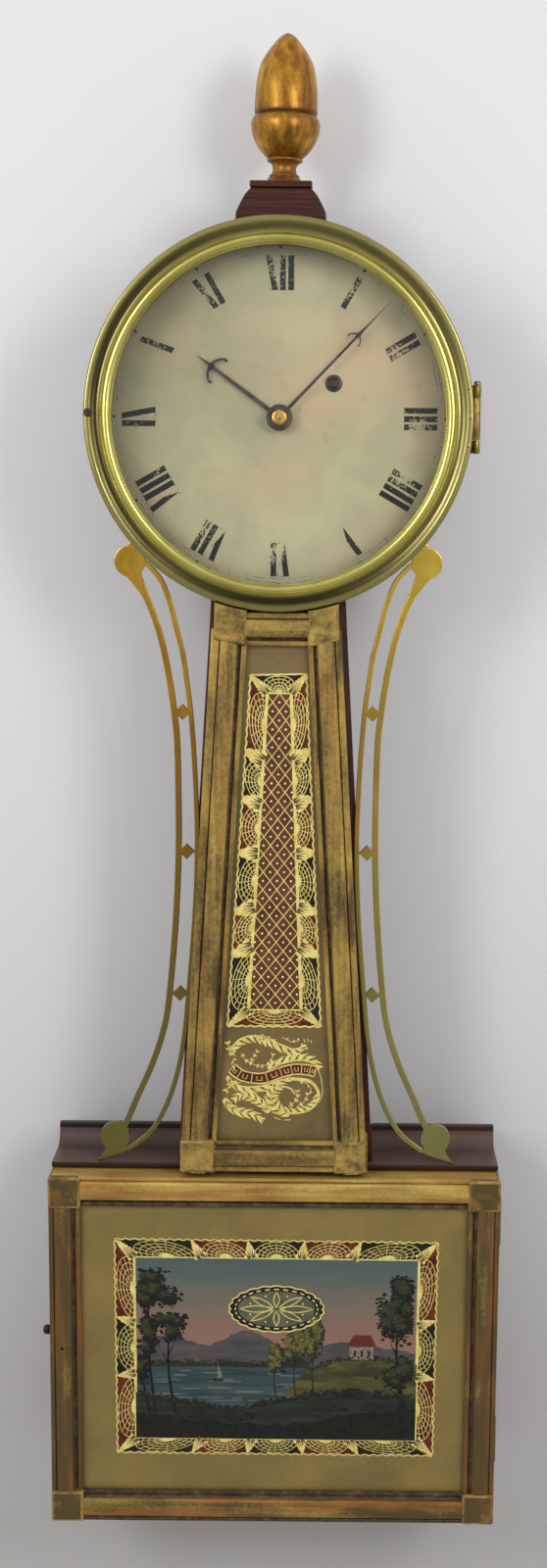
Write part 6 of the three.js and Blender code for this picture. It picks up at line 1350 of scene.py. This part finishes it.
def box_border(front):
    field = Form("box_border_fields")
    art = Form("box_gilt_border")
    wide, tall = [[0.0, *stretch(gap, 1 - gap, cells)[1:-1], 1.0] for cells, gap in ((5, 0.06), (3, 0.085))]
    sides = [(wide, 0, 0.4, 0.8), (tall, 1, 0.4, 1.5)] * 2
    border((field, art), PICTURE, FRAME_OUT, sides, front + LAYER, 1, FRAME_NET)
    field.piece("box_door", "painted_glass", [LACE_BLACK, LACE_RED], solid=False)
    art.piece("box_door", "painted_glass", GOLDS, solid=False)


def spread(share_x, share_z):
    """A place in the picture, as shares of its width and height from its lower left."""
    low, high = between(PICTURE[3], PICTURE[2], share_x), between(PICTURE[0], PICTURE[1], share_x)
    return between(low, high, share_z)


SKY, FAR, MEADOW, BANK, LAKE, SHINE, DARK, TREE, FOLIAGE, LIGHT, WALL, ROOF, TRUNK = range(13)
# The picture's paints after the sky, in the order above: name, pale, deep, size of the brush marks and their way
PAINTS = [
    ("far", (92, 84, 82), (64, 68, 70), 5, "x"), ("meadow", (96, 90, 44), (48, 52, 30), 4, "x"),
    ("bank", (46, 52, 34), (20, 27, 22), 5, "x"), ("lake", (64, 84, 84), (40, 58, 62), 5, "x"),
    ("shine", (112, 108, 100), (78, 92, 90), 5, "x"), ("dark", (26, 28, 20), (11, 12, 10), 5, None),
    ("tree", (40, 44, 28), (22, 26, 18), 2, None), ("foliage", (66, 68, 38), (38, 43, 27), 2, None),
    ("light", (120, 116, 52), (76, 76, 36), 2, None), ("wall", (146, 136, 116), (104, 98, 84), 1.5, None),
    ("roof", (116, 44, 34), (80, 30, 24), 1.5, None), ("trunk", (58, 44, 32), (30, 24, 18), 1.5, None),
]
# Skylines, in shares of the picture
HILLS = [(0, 0.5), (0.12, 0.58), (0.25, 0.52), (0.4, 0.6), (0.55, 0.5), (0.75, 0.54), (1, 0.48)]
SHORE = [(0, 0.41), (0.2, 0.43), (0.45, 0.42), (0.62, 0.44)]
MOUND = [(0.5, 0.2), (0.62, 0.39), (0.76, 0.46), (0.9, 0.45), (1, 0.42)]
SLOPE_LINE = [(0, 0.25), (0.15, 0.21), (0.35, 0.17), (0.55, 0.23), (0.75, 0.27), (1, 0.24)]
NEAR_LINE = [(0, 0.15), (0.2, 0.11), (0.5, 0.08), (0.8, 0.15), (1, 0.18)]
# Land: skyline, coat, paint, foot, roughness and seed
LAND = [
    (HILLS, 0.5, FAR, 0.3, 0.008, 3), (SHORE, 1, BANK, 0.3, 0.012, 4), (MOUND, 1.5, MEADOW, 0.12, 0.005, 5),
    (SLOPE_LINE, 1.7, BANK, 0.05, 0.008, 6), (NEAR_LINE, 1.9, DARK, 0.0, 0.014, 7),
]
# Bushes: line, coat, paints, number of dabs, seed, size of a dab and rise
BUSHES = [
    (SHORE, 1.1, (TREE, BANK, FOLIAGE), 150, 41, 1.0, 1.3),
    (SLOPE_LINE, 1.8, (DARK, TREE, FOLIAGE), 260, 42, 1.3, 1.5),
    (MOUND[1:], 1.6, (TREE, FOLIAGE), 120, 43, 1.1, 1.2),
]
# Trees: their crown's place, half width and height, seed and number of dabs; the first few are far
FAR_TREES = 3
TREES = [
    (0.57, 0.52, 6.5, 13, 11, 260), (0.635, 0.56, 5.5, 15, 12, 260), (0.5, 0.45, 5.5, 9, 13, 180),
    (0.93, 0.72, 15, 22, 21, 620), (0.95, 0.4, 11, 14, 22, 380), (0.05, 0.82, 17, 14, 23, 620),
    (0.03, 0.5, 9, 20, 24, 420), (0.12, 0.62, 9, 10, 25, 200),
]
# A barn on the hill and a boat on the water: coat over the first, paint and outline
BARN = [(0, WALL, [(0.76, 0.45), (0.845, 0.45), (0.845, 0.52), (0.76, 0.52)]),
        (1 / 4, ROOF, [(0.75, 0.52), (0.855, 0.52), (0.835, 0.585), (0.775, 0.585)])]
BARN += [(1 / 3, TRUNK, rect((x, x + 0.009), (0.465, 0.5))) for x in (0.775, 0.8, 0.825)]
BOAT = [(0, TRUNK, [(0.27, 0.335), (0.315, 0.335), (0.307, 0.318), (0.278, 0.318)]),
        (1 / 4, WALL, [(0.292, 0.34), (0.31, 0.342), (0.293, 0.42)])]


def ridge(art, heights, d, colour, foot, rough, seed):
    """Land from the picture's foot up to a rough skyline given by (x share, z share) places."""
    chance = random.Random(seed)
    top = flow(heights, 10)
    skyline = [spread(x, z + chance.uniform(-rough, rough)) for x, z in top]
    base = [spread(x, foot) for x, _ in top]
    for i in range(len(top) - 1):
        art.leafing([base[i], base[i + 1], skyline[i + 1], skyline[i]], d, colour)


def dabs(art, places, size, d, colour, chance):
    """Brush dabs, each a small uneven patch."""
    (left, top), (right, foot) = PICTURE[0], PICTURE[2]
    for x, z in places:
        if not (left + 2 < x < right - 2.4 and foot + 1.6 < z < top - 2.2):
            continue
        reach = size * chance.uniform(0.5, 1.2)
        turn = chance.uniform(0, TURN)
        points = [
            (x + reach * chance.uniform(0.7, 1.1) * cos(turn + TURN * i / 6),
             z + reach * chance.uniform(0.45, 0.85) * sin(turn + TURN * i / 6))
            for i in range(6)
        ]
        ordered = sorted(points, key=lambda p: atan2(p[1] - z, p[0] - x))
        art.leafing(ordered, d + LAYER * 0.25 * chance.random(), colour)


def crown(art, centre, wide, tall, d, tones, count, seed):
    """A tree's foliage in clumps of dabs, dark first and light last."""
    chance = random.Random(seed)
    clumps = []
    for _ in range(9):
        angle, reach = chance.uniform(0, TURN), sqrt(chance.random()) * 0.72
        clumps.append((centre[0] + wide * reach * cos(angle), centre[1] + tall * reach * sin(angle)))
    for k, colour in enumerate(tones):
        places = []
        far_x, far_z = wide * (0.36 - 0.07 * k), tall * (0.3 - 0.07 * k)
        for n in range(count):
            x, z = clumps[n % len(clumps)]
            x += chance.gauss(0, 0.6) * far_x - 0.5 * k
            places.append((x, z + chance.gauss(0, 0.6) * far_z + 0.7 * k))
        dabs(art, places, 1.5 / (1 + 0.3 * k), d + 0.3 * LAYER * k, colour, chance)


def hedge(art, line, d, tones, count, seed, size, rise):
    """Bushes along a line of picture shares."""
    chance = random.Random(seed)
    path = flow(line, 12)
    for k, colour in enumerate(tones):
        places = []
        for _ in range(count // (k + 1)):
            x, z = chance.choice(path)
            x, z = spread(min(1.0, max(0.0, x + chance.uniform(-0.02, 0.02))), z)
            places.append((x, z + chance.uniform(-rise, rise) + 0.5 * k))
        dabs(art, places, size / (1 + 0.25 * k), d + 0.3 * LAYER * k, colour, chance)


def trunk(art, foot, top, width, d, colour):
    """A bent trunk that thins upwards, with two boughs."""
    bend = between(foot, top, 0.5)
    line = flow([spread(*foot), spread(bend[0] - 0.012, bend[1]), spread(*top)], 6)
    art.stroke(line, stretch(width, width * 0.4, len(line) - 1), d, colour)
    for side, place in ((-1, 7), (1, 8)):
        x, z = line[place]
        bough = [(x, z), (x + side * 2.2, z + 3.6), (x + side * 3.4, z + 6.5)]
        art.stroke(bough, [width * 0.4, width * 0.3, width * 0.15], d, colour)


def picture(front):
    """A made-up lake view: a mere at the left, a low hill at the right and tall trees between them."""
    art = Form("box_landscape")
    d = front + LAYER
    art.leafing(PICTURE, d, SKY)
    for line, coat, *rest in LAND:
        ridge(art, line, d + coat * LAYER, *rest)
    for line, coat, *rest in BUSHES:
        hedge(art, line, d + coat * LAYER, *rest)
    art.leafing([spread(*p) for p in ((0, 0.08), (0.62, 0.08), (0.64, 0.4), (0, 0.4))], d + 1.2 * LAYER, LAKE)
    chance = random.Random(8)
    for k in range(26):
        x, z, reach = chance.uniform(0.06, 0.58), chance.uniform(0.2, 0.385), chance.uniform(0.02, 0.07)
        points = [spread(min(0.62, x + reach * u), z + 0.006 * v) for u, v in ring((0, 0), 1, 10)]
        art.leafing(points, d + (1.3 + 0.01 * k) * LAYER, SHINE)
    for coat, colour, outline in BARN + BOAT:
        art.leafing([spread(*p) for p in outline], d + (1.8 + coat) * LAYER, colour)
    for k, (x, z, wide, tall, seed, count) in enumerate(TREES):
        if k < FAR_TREES:
            stem, tones = ((x, 0.24), (x + 0.01, z), 1.1), (TREE, FOLIAGE, LIGHT)
        else:
            stem, tones = ((x + 0.02, 0.14), (x, z), 2.0), (DARK, DARK, TREE, FOLIAGE)
        trunk(art, *stem, d + (1.92 + 0.02 * k) * LAYER, TRUNK if k < FAR_TREES else DARK)
        crown(art, spread(x, z), wide, tall, d + 2.1 * LAYER, tones, count, seed)
    for x, z, seed in ((0.2, 0.13, 31), (0.35, 0.13, 32), (0.7, 0.18, 33), (0.86, 0.18, 34)):
        crown(art, spread(x, z), 9, 4, d + 2.1 * LAYER, (DARK, TREE), 90, seed)
    looks = [sky_paint("picture_sky", PICTURE[3][1] + 50, PICTURE[0][1])]
    looks += [paint("picture_" + name, *tones, size, along=along) for name, *tones, size, along in PAINTS]
    art.piece("box_door", "painted_glass", looks, solid=False)


def oval(front):
    """The framed opening for the bob, with an eight-petalled rosette."""
    field = Form("box_oval_field")
    art = Form("box_oval_gilt")
    d = front + 3.4 * LAYER
    middle, wide, tall = OVAL["middle"], OVAL["wide"], OVAL["tall"]

    def spot(share_x, share_z, angle):
        return (middle[0] + wide * share_x * cos(angle), middle[1] + tall * share_z * sin(angle))

    def scallop(share, lobes=22, steps=176):
        angles = stretch(0, TURN, steps)[:-1]
        bulges = [share * (1 + 0.045 * abs(sin(lobes * a / 2))) for a in angles]
        return [spot(bulge, bulge, a) for bulge, a in zip(bulges, angles)]

    field.leafing(scallop(0.99), d, 0)
    field.leafing(ring(middle, (wide * 0.84, tall * 0.8), 64), d + LAYER / 2, 1)
    art.stroke(scallop(1.0), 0.8, d + LAYER, LEAF, closed=True)
    for i in range(28):
        art.stroke([spot(0.9, 0.88, TURN * i / 28 + s) for s in (-0.06, 0, 0.06)], 0.6, d + LAYER, VEIN)
    for k in range(8):
        angle = TURN * k / 8
        length, place = aimed(middle, spot(0.8, 0.76, angle))
        half = 1.9 if k % 4 == 0 else 1.6
        petal = [(half * sin(pi * s), length * (0.1 + 0.9 * s)) for s in stretch(0, 1, 10)]
        outline = [place(*p) for p in petal + mirrored(petal[-2:0:-1])]
        art.stroke(outline, 0.55, d + LAYER, LEAF, closed=True)
        art.dot(spot(0.62, 0.62, angle + TURN / 16), 0.5, d + LAYER, VEIN, 8)
    rim = paint("oval_rim", (30, 34, 28), (16, 18, 14))
    glass = paint("oval_glass", (106, 104, 82), (78, 80, 62), size=8)
    field.piece("box_door", "painted_glass", [rim, glass], solid=False)
    art.piece("box_door", "painted_glass", GOLDS, solid=False)


# The gut line


def driving_line():
    """Down from the drum, round the pulley and back up."""
    line, radius = Span("gut_line"), 0.6
    left, right = line.x[0] + radius, line.x[1] - radius
    loop, d = (right - left) / 2, sum(line.d) / 2
    low, top = line.z[0] + radius + loop, line.z[1]
    levels = stretch(top, low, 60)[:-1]
    spine = [(right, z) for z in levels] + arc(((left + right) / 2, low), loop, 0, -pi, 24)
    spine += [(left, z) for z in reversed(levels)]
    form = Form("driving_line")
    rows = []
    for (x, z), (nx, nz) in zip(spine, offsets(spine)):
        rows.append([at(x + nx * u, v, z + nz * u) for u, v in ring((0, d), radius, 10)])
    form.skin(rows, ends=True)
    bmesh.ops.recalc_face_normals(form.mesh, faces=form.mesh.faces)
    piece = form.piece(None, "gut", [GUT], ["gut_line"], solid=False)
    at(left, d, top)
    at(left, d, low)
    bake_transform(piece)


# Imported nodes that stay: for each look, how far their edges are eased and which they are

KEPT = {
    MAHOGANY_UP: (0.8, "head_ring throat_side_left throat_side_right box_side_left box_side_right"),
    MAHOGANY_ACROSS: (0.7, "box_bottom"),
    HINGE_BRASS: (0.15, "lower_hinge_case_leaf lower_hinge_door_leaf upper_hinge_case_leaf "
                        "upper_hinge_door_leaf bezel_hinge_case_leaf bezel_hinge_bezel_leaf box_latch_plate"),
    ARM_BRASS: (0.15, "arm_screw_left arm_screw_right"),
    NUT_BRASS: (0.15, "hand_nut"),
    MOVEMENT_BRASS: (0.12, "movement_back_plate movement_front_plate great_wheel centre_wheel third_wheel "
                           "escape_wheel minute_wheel hour_wheel pendulum_bridge pendulum_rod pendulum_bob "
                           "rating_nut weight_pulley"),
    STEEL: (0.1, "lower_hinge_pin upper_hinge_pin bezel_hinge_pin movement_screw_left movement_screw_right "
                 "ratchet_click cannon_pinion pallet_arbor"),
    DARK_STEEL: (0.12, "box_latch bezel_latch hand_washer winding_grommet winding_drum"),
    IRON: (0.8, "weight"),
    TIN: (0.0, "weight_baffle"),
    DIAL_PAINT: (0.0, "dial"),
}


def smoothing():
    """A modifier's node group that keeps an edge sharp only where it bends enough."""
    group = bpy.data.node_groups.new("smooth_by_angle", "GeometryNodeTree")
    for way in ("INPUT", "OUTPUT"):
        group.interface.new_socket("Geometry", in_out=way, socket_type="NodeSocketGeometry")
    nodes = Nodes(group)
    angle = nodes.node("GeometryNodeInputMeshEdgeAngle").outputs[0]
    sharp = nodes.node("FunctionNodeCompare", {0: angle, 1: CREASE}).outputs[0]
    source = nodes.node("NodeGroupInput").outputs[0]
    normals = nodes.node("GeometryNodeSetMeshNormal", mode="SHARPNESS")
    nodes.give(normals.inputs["Mesh"], source)
    nodes.give(normals.inputs["Edge Sharpness"], sharp)
    nodes.node("NodeGroupOutput", {0: normals.outputs[0]})
    return group


def keep_packed():
    group = smoothing()
    for look, (edge, names) in KEPT.items():
        for name in names.split():
            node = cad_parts[name]
            for slot in node.material_slots:
                slot.link = "OBJECT"
                slot.material = look
            node.modifiers.new("weld", "WELD").merge_threshold = 1e-6
            if edge:
                bevel = node.modifiers.new("eased edges", "BEVEL")
                bevel.width = edge * MM
                bevel.segments = 2
                bevel.limit_method = "ANGLE"
                bevel.angle_limit = CREASE
            node.modifiers.new("smooth by angle", "NODES").node_group = group


# Stage, lamps and camera

IMAGE = (558, 1600)
CAMERA = {"x": 27.3, "d": 1127.1, "z": -32.5, "pitch": 0.1561, "yaw": 0.001, "roll": 0.0097}
LENS = {"focal": 1968.25, "centre": (335.4, 799.0), "sensor": 36.0}
LAMPS = {"left_softbox": (-640, 1010, 250), "right_softbox": (640, 1010, 250)}
LAMP = {"wide": 0.34, "tall": 0.5, "power": 4.2, "aim": (0, 40, -160)}
WALL_SPAN = {"wide": 2200, "low": -1300, "high": 1600, "deep": 2600, "back": -0.6}
ROOM = {"floor": 0.2, "ceiling": 0.68, "side": 0.35}  # how bright the room is below, above and at its sides


def add(data, place):
    """A lamp or camera in the scene."""
    made = bpy.data.objects.new(data.name, data)
    made.matrix_world = place
    bpy.context.scene.collection.objects.link(made)
    return made


def camera():
    data = bpy.data.cameras.new("camera")
    tall = max(IMAGE)
    data.sensor_width = LENS["sensor"]
    data.lens = LENS["focal"] / tall * LENS["sensor"]
    data.shift_x = (IMAGE[0] / 2 - LENS["centre"][0]) / tall
    data.shift_y = (LENS["centre"][1] - IMAGE[1] / 2) / tall
    turn = Matrix.Rotation(-CAMERA["yaw"], 4, "Z") @ Matrix.Rotation(QUARTER - CAMERA["pitch"], 4, "X")
    place = Matrix.Translation(at(CAMERA["x"], CAMERA["d"], CAMERA["z"]))
    bpy.context.scene.camera = add(data, place @ turn @ Matrix.Rotation(CAMERA["roll"], 4, "Z"))


def lamps():
    for name, corner in LAMPS.items():
        data = bpy.data.lights.new(name, "AREA")
        data.shape = "RECTANGLE"
        data.size, data.size_y, data.energy = LAMP["wide"], LAMP["tall"], LAMP["power"]
        place = at(*corner)
        turn = (at(*LAMP["aim"]) - place).to_track_quat("-Z", "Y").to_matrix().to_4x4()
        add(data, Matrix.Translation(place) @ turn)
    world = bpy.data.worlds.new("room")
    world.use_nodes = True
    room = Nodes(world.node_tree)
    place = room.node("ShaderNodeTexCoord").outputs["Generated"]
    way = room.node("ShaderNodeSeparateXYZ", {"Vector": place}).outputs
    height = room.share(way["Z"], -0.8, 0.8, ROOM["floor"], ROOM["ceiling"])
    side = room.share(room.math("ABSOLUTE", way["X"], 0.5), 0.6, 0.95, 0.0, ROOM["side"])
    sky = room.tree.nodes["Background"]
    room.give(sky.inputs["Color"], 1.0)
    room.give(sky.inputs["Strength"], room.math("ADD", height, side))
    bpy.context.scene.world = world


def stage():
    """A floor, and a wall painted darker towards its foot as painted shade, that shows from the front only, with a
    gap that lets light reach the clock's back.
    """
    look = Look("wall_painted_shade_low")
    cloud = look.math("MULTIPLY", look.noise(260), 0.12)
    # Painted shade: the wall is darker towards its foot, standing in for the lamps' falloff.
    level = look.math("ADD", look.share(look.axis("z"), -680, 60), cloud)
    tones = ((0.05, (200, 198, 196)), (0.35, (224, 223, 224)), (0.7, (232, 232, 233)), (1.0, (236, 236, 237)))
    look.finish(look.ramp(level, *tones), 0.9, bump=look.noise(5, detail=4), depth=0.12)
    look.clear(look.node("ShaderNodeNewGeometry").outputs["Backfacing"])
    wide, low, high, deep, back = WALL_SPAN.values()
    wall = Form("stage_wall")
    edges = []
    for loop in (rect((-wide, wide), (low, high)), board_outline(-4)):
        points = [wall.mesh.verts.new(at(x, back, z)) for x, z in loop]
        edges += [wall.mesh.edges.new((points[i - 1], points[i])) for i in range(len(points))]
    bmesh.ops.triangle_fill(wall.mesh, edges=edges, use_beauty=True, normal=(0, -1, 0))
    floor = Form("stage_floor")
    corners = rect((-wide, wide), (back, deep))
    floor.mesh.faces.new([floor.mesh.verts.new(at(x, d, low)) for x, d in corners[::-1]])
    wall.object([look.material])
    floor.object([look.material])


def build():
    finial()
    plinth()
    backboard()
    shelf()
    throat_frame()
    box_door_frame()
    side_arm(-1, "side_arm_left")
    side_arm(1, "side_arm_right")
    bezel()
    bezel_glass()
    numerals()
    minute_track()
    hand("hour", "hour_pipe")
    hand("minute", "centre_arbor")
    throat_ornament(throat_pane())
    front = box_pane()
    box_border(front)
    picture(front)
    oval(front)
    driving_line()
    keep_packed()


build()
stage()
lamps()
camera()
bpy.context.scene.view_settings.view_transform = "Standard"
